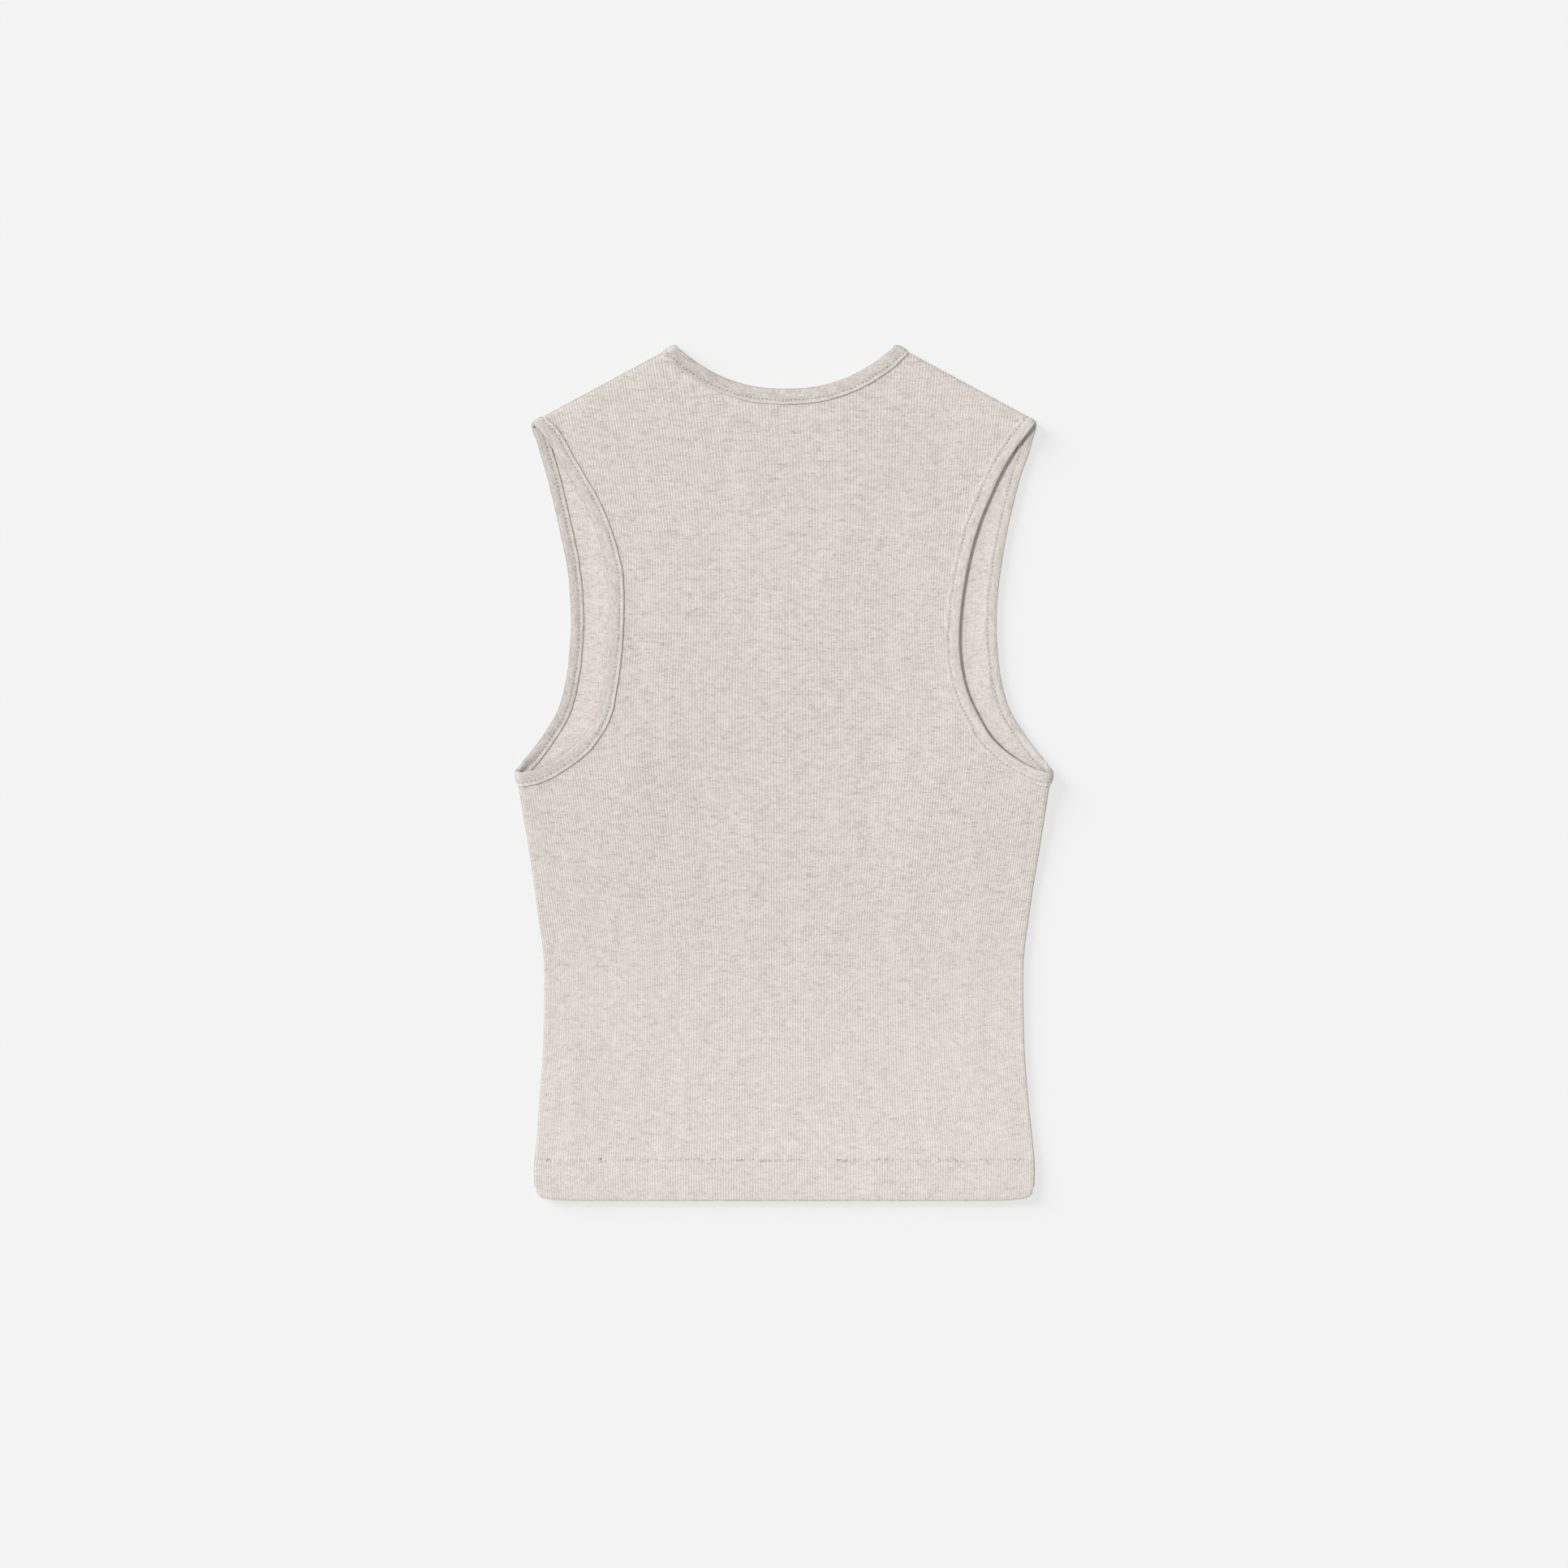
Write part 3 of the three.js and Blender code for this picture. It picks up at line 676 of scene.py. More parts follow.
def leg_heights(cloth, binding, on_back):
    """The heights of the middles of a strip's outer and inner leg over the cloth's middle."""
    clear = cloth.wall / 2 + STRIP_GAP + binding.leg / 2
    return clear + cloth.rib_height * np.minimum(2 * on_back, 1), clear


def strip_swell(strip, binding, run, across, width, seed):
    """How far a leg's face stands out from an even thickness: puffed next to the fold, drawn
    in along the stitching and at each needle hole, and lipped at the free edge."""
    stitch_at = width - binding.stitch_inset
    puff = np.sin(math.pi * np.clip((across - 0.4 * MM) / (stitch_at - 0.4 * MM), 0, 1)) ** 0.8
    line = np.exp(-(((across - stitch_at) / (0.62 * MM)) ** 2))
    pitch = strip.length / strip.stitches
    phase = run / pitch
    hole = np.cos(math.pi * (phase - np.floor(phase + 0.5))) ** 4
    random = np.random.default_rng(seed)
    pull = 0.55 + 0.45 * random.random(strip.stitches + 1)
    strength = pull[np.floor(phase + 0.5).astype(int) % strip.stitches]
    lip = np.exp(-(((across - (width - 0.9 * MM)) / (0.7 * MM)) ** 2))
    gathers = wobble(run, 3.4 * MM, seed + 1) * wobble(run, 21 * MM, seed + 2)
    ease = np.exp(-(((across - (stitch_at - 1.2 * MM)) / (2.2 * MM)) ** 2))
    swell = 0.2 * MM * puff * (1 + 0.3 * wobble(run, 30 * MM, seed + 3))
    swell += 0.12 * MM * lip * strip.lip_share(run) - line * (0.14 * MM + 0.36 * MM * strength * hole)
    return swell + 0.07 * MM * gathers * ease


def strip_section():
    """Shares along one leg from its free edge to the fold, and angles round the fold."""
    leg = 1 - np.arange(LEG_POINTS) / LEG_POINTS
    nose = np.linspace(90, -90, NOSE_POINTS)
    return leg, np.radians(nose)


def build_strip(name, strip, cloth, binding, seed, material):
    """A binding as one closed skin: its outer face from leg to leg round the fold, and its
    inner face back again."""
    rings = strip.stitches * PER_STITCH
    run = (np.arange(rings) / rings * strip.length)[:, None]
    width = strip.uneven_width(run, seed)
    upper, lower = leg_heights(cloth, binding, strip.on_back(run))
    half = binding.leg / 2
    fold_radius = (upper + lower) / 2
    fold_height = (upper - lower) / 2
    nose_at = fold_radius + half
    shares, angles = strip_section()
    tip = 0.55 * half
    parts = []

    def add(across, raised):
        parts.append((across + 0 * run, raised + 0 * run))

    def leg_swell(across, leg_seed):
        return strip_swell(strip, binding, run, across, width, leg_seed)

    for share in shares:
        across = mix(nose_at, width - tip, share)
        add(across, upper + half + leg_swell(across, seed))
    for angle in angles:
        radius = fold_radius + half
        across = nose_at - radius * math.cos(angle) ** NOSE_SQUARENESS
        swell = leg_swell(np.maximum(across, 0.5 * MM), seed) if angle > 0 else 0
        rise = math.copysign(abs(math.sin(angle)) ** NOSE_SQUARENESS, angle)
        add(across, fold_height + radius * rise + swell * max(math.sin(angle), 0))
    for share in shares[::-1]:
        across = mix(nose_at, width - tip, share)
        add(across, -(lower + half + leg_swell(across, seed + 50)))
    add(width, -lower - 0.3 * half)
    add(width - 0.1 * MM, -lower + 0.5 * half)
    add(width - tip, -lower + half)
    for share in (0.5, 0.0):
        add(mix(nose_at, width, share), -lower + half)
    for angle in np.radians([-50, 0, 50]):
        radius = fold_radius - half
        add(nose_at - radius * math.cos(angle), fold_height + radius * math.sin(angle))
    for share in (0.0, 0.5):
        add(mix(nose_at, width, share), upper - half)
    add(width - tip, upper - half)
    add(width - 0.1 * MM, upper - 0.5 * half)
    add(width, upper + 0.3 * half)

    across = np.concatenate([part[0] for part in parts], axis=1)
    raised = np.concatenate([part[1] for part in parts], axis=1)
    runs = run + 0 * across
    points = strip.point(runs.ravel(), across.ravel(), raised.ravel())
    quads = grid_quads(rings, across.shape[1], closed=True)
    if strip.side == LEFT:
        quads = quads[:, ::-1]
    marks = {
        "run": runs.ravel(),
        "across": across.ravel(),
        "from_stitch": (across - (width - binding.stitch_inset)).ravel(),
        "lip": strip.lip_share(runs).ravel(),
        "on_back": strip.on_back(runs).ravel(),
    }
    piece = mesh_object(name, points, quads.tolist(), marks)
    close_run(piece, rings, across.shape[1], strip.length)
    piece.data.materials.append(material)
    return piece


def close_run(piece, rings, per_ring, length):
    """Keeps the run going forwards on the faces that join the last ring to the first. Their
    corners get a run of their own, on a map that the material reads."""
    mesh = piece.data
    corners = np.zeros(len(mesh.loops), np.int32)
    mesh.loops.foreach_get("vertex_index", corners)
    run = np.zeros(len(mesh.vertices), np.float32)
    across = np.zeros(len(mesh.vertices), np.float32)
    mesh.attributes["run"].data.foreach_get("value", run)
    mesh.attributes["across"].data.foreach_get("value", across)
    map_run = run[corners]
    starts = np.zeros(len(mesh.polygons), np.int32)
    mesh.polygons.foreach_get("loop_start", starts)
    for start in starts[-per_ring:]:
        own = slice(start, start + 4)
        map_run[own] = np.where(map_run[own] < length / 2, map_run[own] + length, map_run[own])
    layer = mesh.uv_layers.new(name="strip")
    pairs = np.stack([map_run, across[corners]], axis=1)
    layer.data.foreach_set("uv", pairs.ravel().astype(np.float32))
    mesh.attributes.remove(mesh.attributes["run"])
    mesh.attributes.remove(mesh.attributes["across"])


# The topstitching


def stitch_tubes(centres, ways_up, ways_over, radius, sides=6):
    """Short threads as closed tubes. centres holds the points along each thread, and the two
    ways span its section."""
    threads, steps = centres.shape[:2]
    angles = np.linspace(0, 2 * math.pi, sides, endpoint=False)
    taper = np.ones(steps)
    taper[[0, -1]] = 0.45
    ring = np.cos(angles)[:, None] * ways_over[:, :, None, :]
    ring = ring + np.sin(angles)[:, None] * ways_up[:, :, None, :]
    points = centres[:, :, None, :] + radius * taper[None, :, None, None] * ring
    faces = []
    for thread in range(threads):
        base = thread * steps * sides
        for step in range(steps - 1):
            for i in range(sides):
                j = (i + 1) % sides
                low = base + step * sides
                faces.append([low + i, low + j, low + sides + j, low + sides + i])
        faces.append([base + i for i in reversed(range(sides))])
        last = base + (steps - 1) * sides
        faces.append([last + i for i in range(sides)])
    return points.reshape(-1, 3), faces


def unit(vectors):
    return vectors / np.linalg.norm(vectors, axis=-1, keepdims=True)


def strip_stitches(name, strip, cloth, binding, seed, material):
    """The topstitching of a binding, on its outer and its inner leg."""
    pitch = strip.length / strip.stitches
    bend = np.linspace(-1, 1, STITCH_POINTS)
    centres = (np.arange(strip.stitches) + 0.5)[:, None] * pitch
    run = centres + bend[None, :] * 0.43 * pitch
    width = strip.uneven_width(run, seed)
    across = width - binding.stitch_inset
    upper, lower = leg_heights(cloth, binding, strip.on_back(run))
    half = binding.leg / 2
    arch = 0.14 * MM - 0.42 * MM * np.abs(bend[None, :]) ** 2.2
    all_points, all_faces = [], []
    for heights, way in ((upper + half - 0.2 * MM, 1), (-(lower + half - 0.2 * MM), -1)):
        raised = heights + way * arch + 0 * run

        def at(run_at, across_at, raised_at):
            flat = strip.point(run_at.ravel(), across_at.ravel(), raised_at.ravel())
            return flat.reshape(*run_at.shape, 3)

        centre = at(run, across, raised)
        up_way = unit(at(run, across, raised + way * 0.1 * MM) - centre)
        over_way = unit(at(run, across + 0.1 * MM, raised) - centre)
        points, faces = stitch_tubes(centre, up_way, over_way, binding.thread / 2)
        offset = sum(len(part) for part in all_points)
        if way * strip.side < 0:
            faces = [face[::-1] for face in faces]
        all_faces += [[i + offset for i in face] for face in faces]
        all_points.append(points)
    piece = mesh_object(name, np.concatenate(all_points), all_faces)
    piece.data.materials.append(material)
    return piece


def hem_stitches(name, cloth, binding, face, material):
    """The hem's topstitching on one panel's outside."""
    pitch = cloth.hem_pitch
    left = math.ceil((-read(SIDES, "left", cloth.hem_depth) + HEM_MARGIN) / pitch)
    right = math.floor((read(SIDES, "right", cloth.hem_depth) - HEM_MARGIN) / pitch)
    count = right - left
    bend = np.linspace(-1, 1, STITCH_POINTS)
    x = (left + np.arange(count) + 0.5)[:, None] * pitch + bend[None, :] * 0.42 * pitch
    up = np.full(x.shape, cloth.hem_depth) + 0.15 * MM * wobble(x, 24 * MM, 77)
    middle, radius = lay_at(x, up)
    sunk = 0.02 * MM if face == BACK else 0.16 * MM
    height = radius + cloth.wall / 2 - sunk
    arch = -0.36 * MM * np.abs(bend[None, :]) ** 2
    lift = creases(BACK_CREASES, x, up) if face == BACK else 0
    z = middle + face * (height + arch) + lift
    centre = np.stack([x, up + HEM_Y, z], axis=-1)
    up_way = np.zeros_like(centre)
    up_way[..., 2] = face
    over_way = np.zeros_like(centre)
    over_way[..., 1] = -1
    points, faces = stitch_tubes(centre, up_way, over_way, binding.thread / 2)
    if face == BACK:
        faces = [face_[::-1] for face_ in faces]
    piece = mesh_object(name, points, faces)
    piece.data.materials.append(material)
    return piece


# Materials


class Value:
    """A socket of numbers in a node tree. Sums with it add Math nodes."""

    def __init__(self, shader, socket):
        self.shader, self.socket = shader, socket

    def math(self, operation, *others):
        inputs = {i: other for i, other in enumerate((self, *others))}
        return self.shader.node("ShaderNodeMath", {"operation": operation}, inputs)

    def __add__(self, other):
        return self.math("ADD", other)

    def __radd__(self, other):
        return self.math("ADD", other)

    def __sub__(self, other):
        return self.math("SUBTRACT", other)

    def __rsub__(self, other):
        return self.shader.node("ShaderNodeMath", {"operation": "SUBTRACT"}, {0: other, 1: self})

    def __mul__(self, other):
        return self.math("MULTIPLY", other)

    def __rmul__(self, other):
        return self.math("MULTIPLY", other)

    def step(self, low, high):
        """A smooth rise from 0 to 1 as the value goes from low to high."""
        settings = {"interpolation_type": "SMOOTHSTEP"}
        inputs = {"Value": self, "From Min": low, "From Max": high}
        return self.shader.node("ShaderNodeMapRange", settings, inputs)


class Shader:
    """A material of one Principled surface."""

    def __init__(self, name):
        self.material = bpy.data.materials.new(name)
        self.material.use_nodes = True
        self.tree = self.material.node_tree
        self.tree.nodes.clear()

    def node(self, kind, settings=None, inputs=None, output=0):
        made = self.tree.nodes.new(kind)
        for name, value in (settings or {}).items():
            setattr(made, name, value)
        for name, value in (inputs or {}).items():
            if isinstance(value, Value):
                self.tree.links.new(value.socket, made.inputs[name])
            else:
                made.inputs[name].default_value = value
        return Value(self, made.outputs[output])

    def number(self, name):
        """A number that each point of the mesh holds."""
        return self.node("ShaderNodeAttribute", {"attribute_name": name}, output="Fac")

    def vector(self, x, y, z=0.0):
        return self.node("ShaderNodeCombineXYZ", inputs={"X": x, "Y": y, "Z": z})

    def noise(self, vector, scale=1.0, detail=1.0, roughness=0.5):
        inputs = {"Vector": vector, "Scale": scale, "Detail": detail, "Roughness": roughness}
        return self.node("ShaderNodeTexNoise", {"normalize": True}, inputs, "Fac")

    def speckle(self, vector):
        return self.node("ShaderNodeTexWhiteNoise", {"noise_dimensions": "3D"}, {"Vector": vector}, "Value")

    def blend(self, share, first, second):
        """A colour between two, by share."""
        settings = {"data_type": "RGBA", "clamp_factor": True}
        return self.node("ShaderNodeMix", settings, {0: share, 6: first, 7: second}, 2)

    def shade(self, colour, amount):
        """A colour times a number."""
        grey = self.vector(amount, amount, amount)
        settings = {"operation": "MULTIPLY"}
        return self.node("ShaderNodeVectorMath", settings, {0: colour, 1: grey})

    def surface(self, colour, roughness, normal=None, sheen=0.0, glow=0.0):
        inputs = {
            "Base Color": colour,
            "Roughness": roughness,
            "Sheen Weight": sheen,
            "Sheen Roughness": 0.5,
            "Specular IOR Level": 0.12,
            "Emission Color": (1, 1, 1, 1),
            "Emission Strength": glow,
        }
        if normal:
            inputs["Normal"] = normal
        bsdf = self.node("ShaderNodeBsdfPrincipled", inputs=inputs, output="BSDF")
        self.node_output(bsdf)
        return self.material

    def node_output(self, bsdf):
        made = self.tree.nodes.new("ShaderNodeOutputMaterial")
        self.tree.links.new(bsdf.socket, made.inputs["Surface"])

    def bump(self, height, strength, distance):
        inputs = {"Height": height, "Strength": strength, "Distance": distance}
        return self.node("ShaderNodeBump", inputs=inputs, output="Normal")


def yarn_colour(shader, colours, warm, cool):
    """Cream yarn with warm tan stretches and cool grey ones."""
    yarn = shader.blend(warm.step(0.35, 0.7), colours.cream, colours.tan)
    return shader.blend(cool.step(0.5, 0.75) * 0.8, yarn, colours.grey)


def knit_material(name, colours, cloth, inside):
    """Rib knit seen from the outside, or from the inside, where ribs and grooves change
    places."""
    shader = Shader(name)
    wale, course = shader.number("wale"), shader.number("course")
    shift = 0.5 if inside else 0.0
    wave = ((wale + shift) * (2 * math.pi)).math("COSINE") * 0.5 + 0.5
    rib = wave.step(0.1, 0.9)
    leg = ((wale + shift + 0.5).math("FRACT") - 0.5).math("ABSOLUTE")
    rows = course * (1 / cloth.course) + leg * 0.7
    row = rows.math("FLOOR")
    within = rows.math("FRACT")

    long_streak = shader.noise(shader.vector(wale * 0.19, row * 3.7), detail=1)
    streak = shader.noise(shader.vector(wale * 0.42 + 50, row * 7.3), detail=1)
    fleck = shader.noise(shader.vector(wale * 0.95 + 90, row * 5.3), detail=0)
    patch = shader.noise(shader.vector(wale * 0.17 + 20, course * (1 / (5 * MM))), detail=2)
    broad = shader.noise(shader.vector(wale * 0.035, course * 22), detail=2)
    warm = shader.noise(shader.vector(wale * 0.3 + 40, row * 1.9), detail=1)
    cool = shader.noise(shader.vector(wale * 0.3 + 140, row * 2.3), detail=1)
    loop = shader.speckle(shader.vector((wale + 0.5).math("FLOOR"), row, 2.0))
    groove_loop = shader.speckle(shader.vector(wale.math("FLOOR"), row, 7.0))

    yarn = yarn_colour(shader, colours, warm, cool)
    # The colour between the ribs is painted shade, darker along the streaks; depth is how much of it each
    # point gets, less on the inside and in random worn patches
    groove = shader.blend(streak.step(0.35, 0.75), colours.groove, colours.dark_groove)
    worn = shader.noise(shader.vector(wale * 0.09 + 7, course * 11), detail=1).step(0.48, 0.7)
    depth = (1 - rib) * (0.14 if inside else 0.58) * (0.3 + 0.5 * groove_loop + 0.5 * (1 - patch))
    depth = depth * (1 - 0.32 * worn)
    body = shader.blend(depth, yarn, groove)
    light = 1.0 + 0.3 * (long_streak - 0.5) + 0.48 * (streak - 0.5) + 0.24 * (fleck - 0.5)
    light = light + 0.15 * (patch - 0.5) + 0.03 * (broad - 0.5) + 0.07 * (loop - 0.5)
    light = (light - 1) * (1 + 0.15 * course.step(120 * MM, 220 * MM)) + 1
    light = light.math("SMOOTH_MIN", 1.09, 0.16) + 0.012
    # Darker from 60 mm above the hem towards the neck
    light = light - 0.05 * course.step(60 * MM, 200 * MM)

    # Painted shade at the needle holes of the hem's stitching, where the cloth is drawn in, in uneven
    # clusters
    stray = shader.speckle(shader.vector((wale * 1.4).math("FLOOR"), 5.0, 4.0)) - 0.5
    stitch_row = (course - cloth.hem_depth + stray * (1.5 * MM)).math("ABSOLUTE")
    near = stitch_row.step(1.1 * MM, 0.2 * MM)
    hole = shader.speckle(shader.vector((wale * 1.4).math("FLOOR"), 3.0, 9.0)).step(0.35, 0.9)
    cluster = shader.noise(shader.vector(wale * 0.08, 8.0), detail=1).step(0.42, 0.62)
    light = light - near * hole * (0.1 + 0.42 * cluster)
    # Painted shade on the rolled folds at the sides and shoulders, strongest on the left
    light = light * (1 - 0.26 * shader.number("folded").step(0.3, 1.0))
    colour = shader.shade(body, light)

    stitch = 1 - (within - 0.5).math("ABSOLUTE") * 2
    height = 0.2 * wave + 0.3 * stitch.step(0.0, 0.8) * wave + 0.3 * streak
    normal = shader.bump(height, 0.2 if inside else 0.35, 0.18 * MM)
    return shader.surface(colour, 0.92, normal, 0.1)


def binding_material(name, colours, strip, shades, gathered):
    """A binding's strip. Its fine ribs run across it, and they show where it is gathered, at
    its start."""
    shader = Shader(name)
    place = shader.node("ShaderNodeUVMap", {"uv_map": "strip"})
    run = shader.node("ShaderNodeSeparateXYZ", inputs={"Vector": place}, output="X")
    across = shader.node("ShaderNodeSeparateXYZ", inputs={"Vector": place}, output="Y")
    from_stitch = shader.number("from_stitch")
    row = (across * (1 / (0.85 * MM))).math("FLOOR")
    long_streak = shader.noise(shader.vector(run * (1 / (6 * MM)), row * 3.1), detail=1)
    streak = shader.noise(shader.vector(run * (1 / (2.6 * MM)) + 30, row * 5.7), detail=1)
    fleck = shader.noise(shader.vector(run * (1 / (1.2 * MM)) + 60, across * (1 / (1.1 * MM))), detail=1)
    patch = shader.noise(shader.vector(run * (1 / (9 * MM)) + 90, across * (1 / (5 * MM))), detail=2)
    warm = shader.noise(shader.vector(run * (1 / (4 * MM)) + 70, row * 1.3), detail=1)
    cool = shader.noise(shader.vector(run * (1 / (4 * MM)) + 170, row * 1.7), detail=1)
    fine = (run * (2 * math.pi / (1.2 * MM))).math("COSINE") * 0.5 + 0.5
    gather = run.step(75 * MM, 12 * MM) * gathered

    yarn = yarn_colour(shader, colours, warm, cool)
    pitch = strip.length / strip.stitches
    phase = (run * (1 / pitch) + 0.5).math("FRACT") - 0.5
    pull = shader.speckle(shader.vector((run * (1 / pitch) + 0.5).math("FLOOR"), 4.0)) * 0.6 + 0.5
    hole = phase.math("ABSOLUTE").step(0.24, 0.08) * from_stitch.math("ABSOLUTE").step(0.7 * MM, 0.2 * MM)
    line = from_stitch.math("ABSOLUTE").step(0.9 * MM, 0.2 * MM)
    back_shade, front_shade = shades
    light = front_shade + (back_shade - front_shade) * shader.number("on_back")
    light = light + 0.3 * (long_streak - 0.5) + 0.4 * (streak - 0.5) + 0.3 * (fleck - 0.5)
    # Painted shade between the fine ribs across the strip, deeper where it is gathered
    light = light + 0.3 * (patch - 0.5) - (1 - fine) * (0.015 + 0.2 * gather)
    # Where the free edge's lip gets a painted highlight
    lip = from_stitch.step(0.9 * MM, 1.6 * MM) * shader.number("lip")
    # Painted shade in the needle holes and along the stitched line, and the lip's painted highlight
    light = light - 0.4 * hole * pull - 0.035 * line + 0.06 * lip
    # Painted shade round the fold, within a millimetre of the strip's nose
    light = light * (1 - 0.22 * across.step(1.0 * MM, 0.1 * MM))
    colour = shader.shade(yarn, light)
    height = fine * (0.12 + 0.5 * gather) + 0.5 * fleck + 0.3 * streak
    normal = shader.bump(height, 0.4, 0.15 * MM)
    return shader.surface(colour, 0.92, normal, 0.1)


def thread_material(name, colour):
    shader = Shader(name)
    place = shader.node("ShaderNodeTexCoord", output="Object")
    fuzz = shader.noise(place, scale=2400.0, detail=1)
    tone = shader.shade(shader.blend(0.0, colour, colour), 0.9 + 0.2 * fuzz)
    return shader.surface(tone, 0.8, shader.bump(fuzz, 0.3, 0.1 * MM), 0.1)


def floor_material(name, colour, glow):
    shader = Shader(name)
    place = shader.node("ShaderNodeTexCoord", output="Object")
    grain = shader.noise(place, scale=3.0, detail=1)
    tone = shader.shade(shader.blend(0.0, colour, colour), 0.999 + 0.002 * grain)
    return shader.surface(tone, 1.0, glow=glow)


# The user's sizes and colours


def length(name, description, default):
    return bpy.props.FloatProperty(
        name=name, description=description, default=default, precision=5, unit="LENGTH"
    )


def angle(name, description, degrees):
    return bpy.props.FloatProperty(
        name=name, description=description, default=math.radians(degrees), subtype="ANGLE"
    )


def amount(name, description, default):
    return bpy.props.FloatProperty(name=name, description=description, default=default)


def tone(name, description, default):
    return bpy.props.FloatVectorProperty(
        name=name, description=description, default=(*default, 1.0), size=4, subtype="COLOR"
    )


class TankTopCloth(bpy.types.PropertyGroup):
    wall: length("Knit thickness", "Thickness of the rib knit between its grooves", 0.9 * MM)
    rib_height: length("Rib height", "Height of the ribs over the grooves", 0.18 * MM)
    ribs: bpy.props.IntProperty(
        name="Ribs", description="Ribs across a panel, with those that roll over its sides", default=198
    )
    crowding: amount("Crowding", "How much closer the ribs lie near the sides", 0.08)
    course: length("Course", "Height of one row of knitted loops", 0.95 * MM)
    hem_depth: length("Hem depth", "From the hem's fold to its stitching", 26.2 * MM)
    hem_pitch: length("Hem stitch", "Length of a stitch of the hem", 2.7 * MM)
    turned_gap: length("Turned gap", "Gap between the cloth and its turned-up edge", 0.1 * MM)


class TankTopBinding(bpy.types.PropertyGroup):
    leg: length("Strip thickness", "Thickness of each leg of the folded strip", 0.85 * MM)
    neck_width: length("Neck width", "Width of the folded strip at the neck", 10.2 * MM)
    back_width: length("Back armhole width", "Width of the folded strip on the back", 9.6 * MM)
    front_width: length("Front armhole width", "Width of the folded strip on the front", 8.2 * MM)
    stitch_inset: length("Stitch inset", "From the strip's free edge to its stitching", 2.7 * MM)
    stitch_pitch: length("Stitch", "Length of a stitch of the bindings", 2.6 * MM)
    thread: length("Thread", "Thickness of the sewing thread", 0.42 * MM)


class TankTopColours(bpy.types.PropertyGroup):
    cream: tone("Cream yarn", "Colour of the palest fibres", (0.810, 0.760, 0.706))
    grey: tone("Grey yarn", "Colour of the grey-green fibres", (0.735, 0.722, 0.664))
    tan: tone("Tan yarn", "Colour of the warm fibres", (0.765, 0.696, 0.642))
    # The next two colours are painted shade between the ribs, the second darker, along streaks
    groove: tone("Groove", "Colour between the ribs", (0.505, 0.467, 0.420))
    dark_groove: tone("Dark yarn", "Colour of the darkest fibres", (0.395, 0.366, 0.330))
    thread: tone("Thread", "Colour of the sewing thread", (0.70, 0.66, 0.61))
    floor: tone("Floor", "Colour of the floor", (0.40, 0.40, 0.40))


class TankTopStage(bpy.types.PropertyGroup):
    picture_width: length("Picture width", "What the picture takes in at the garment", 1.00464)
    picture_down: length("Picture down", "How far below the origin the picture's centre lies", 7.6 * MM)
    camera_height: length("Camera height", "Height of the camera over the floor", 4.0)
    key: amount("Key light", "Strength of the key light", 1.96)
    key_height: angle("Key height", "Angle of the key light over the floor", 56)
    key_size: angle("Key size", "Angle that the key light takes up", 9)
    low: amount("Low light", "Strength of the low, wide light", 0.45)
    low_height: angle("Low height", "Angle of the low light over the floor", 24)
    low_size: angle("Low size", "Angle that the low light takes up", 32)
    turn: angle("Turn", "How far the key and low lights are turned from the left to the neck", 20)
    wash: amount("Floor light", "Strength of the floor's light", 2.7)
    wash_height: angle("Floor light height", "Angle of the floor's light over the floor", 20)
    wash_size: angle("Floor light size", "Angle that the floor's light takes up", 34)
    wash_turn: angle("Floor light turn", "How far the floor's light is turned to the neck", 33)
    sky: amount("Fill light", "Strength of the even fill light", 0.42)
    glow: amount("Floor glow", "Light from the floor itself", 0.612)


# Operators


def edges_of(step):
    return {
        "back_neck": neck_edge(BACK_NECK_DEPTH, BACK_NECK_POWER, step),
        "front_neck": neck_edge(FRONT_NECK_DEPTH, FRONT_NECK_POWER, step),
        "back_armholes": {side: armhole_edge(BACK_ARMHOLES, side, step) for side in (LEFT, RIGHT)},
        "front_armholes": {side: armhole_edge(FRONT_ARMHOLES, side, step) for side in (LEFT, RIGHT)},
    }


def strips(scene):
    """The neck's and the armholes' strips by the first word of their names."""
    edges = edges_of(1.0 * MM)
    binding = scene.tank_top_binding
    neck, back, front = binding.neck_width, binding.back_width, binding.front_width
    made = {"neck": Strip(edges["back_neck"], edges["front_neck"], RIGHT, neck, neck, binding)}
    for side, name in ((LEFT, "left_armhole"), (RIGHT, "right_armhole")):
        pair = edges["back_armholes"][side], edges["front_armholes"][side]
        made[name] = Strip(*pair, side, back, front, binding)
    return made


STRIP_SEEDS = {"neck": 100, "left_armhole": 200, "right_armhole": 300}
# Each strip's brightness on the back and the front: partly the strips' own tone, partly painted light and
# shade, with the left armhole's strip darker than the right's and its front part darkest
STRIP_SHADES = {"neck": (0.845, 0.845), "left_armhole": (0.855, 0.79), "right_armhole": (0.9, 0.885)}


def dress(piece, node):
    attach(piece, BODY)
    if node:
        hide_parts(node)


class TANKTOP_OT_panels(bpy.types.Operator):
    """Adds the back's and the front's cloth with their turned-up hems"""

    bl_idname = "tanktop.panels"
    bl_label = "Add the panels"

    def execute(self, context):
        scene = context.scene
        cloth, colours = scene.tank_top_cloth, scene.tank_top_colours
        outside = knit_material("rib_knit_outside", colours, cloth, inside=False)
        within = knit_material("rib_knit_inside", colours, cloth, inside=True)
        edges = edges_of(2.5 * MM)
        for name, face in (("back", BACK), ("front", FRONT)):
            neck, armholes = edges[f"{name}_neck"], edges[f"{name}_armholes"]
            piece, area = build_panel(f"{name}_cloth", cloth, face, neck, armholes, [outside, within])
            dress(piece, f"{name}_panel")
            piece["flat_area"] = area
        return {"FINISHED"}


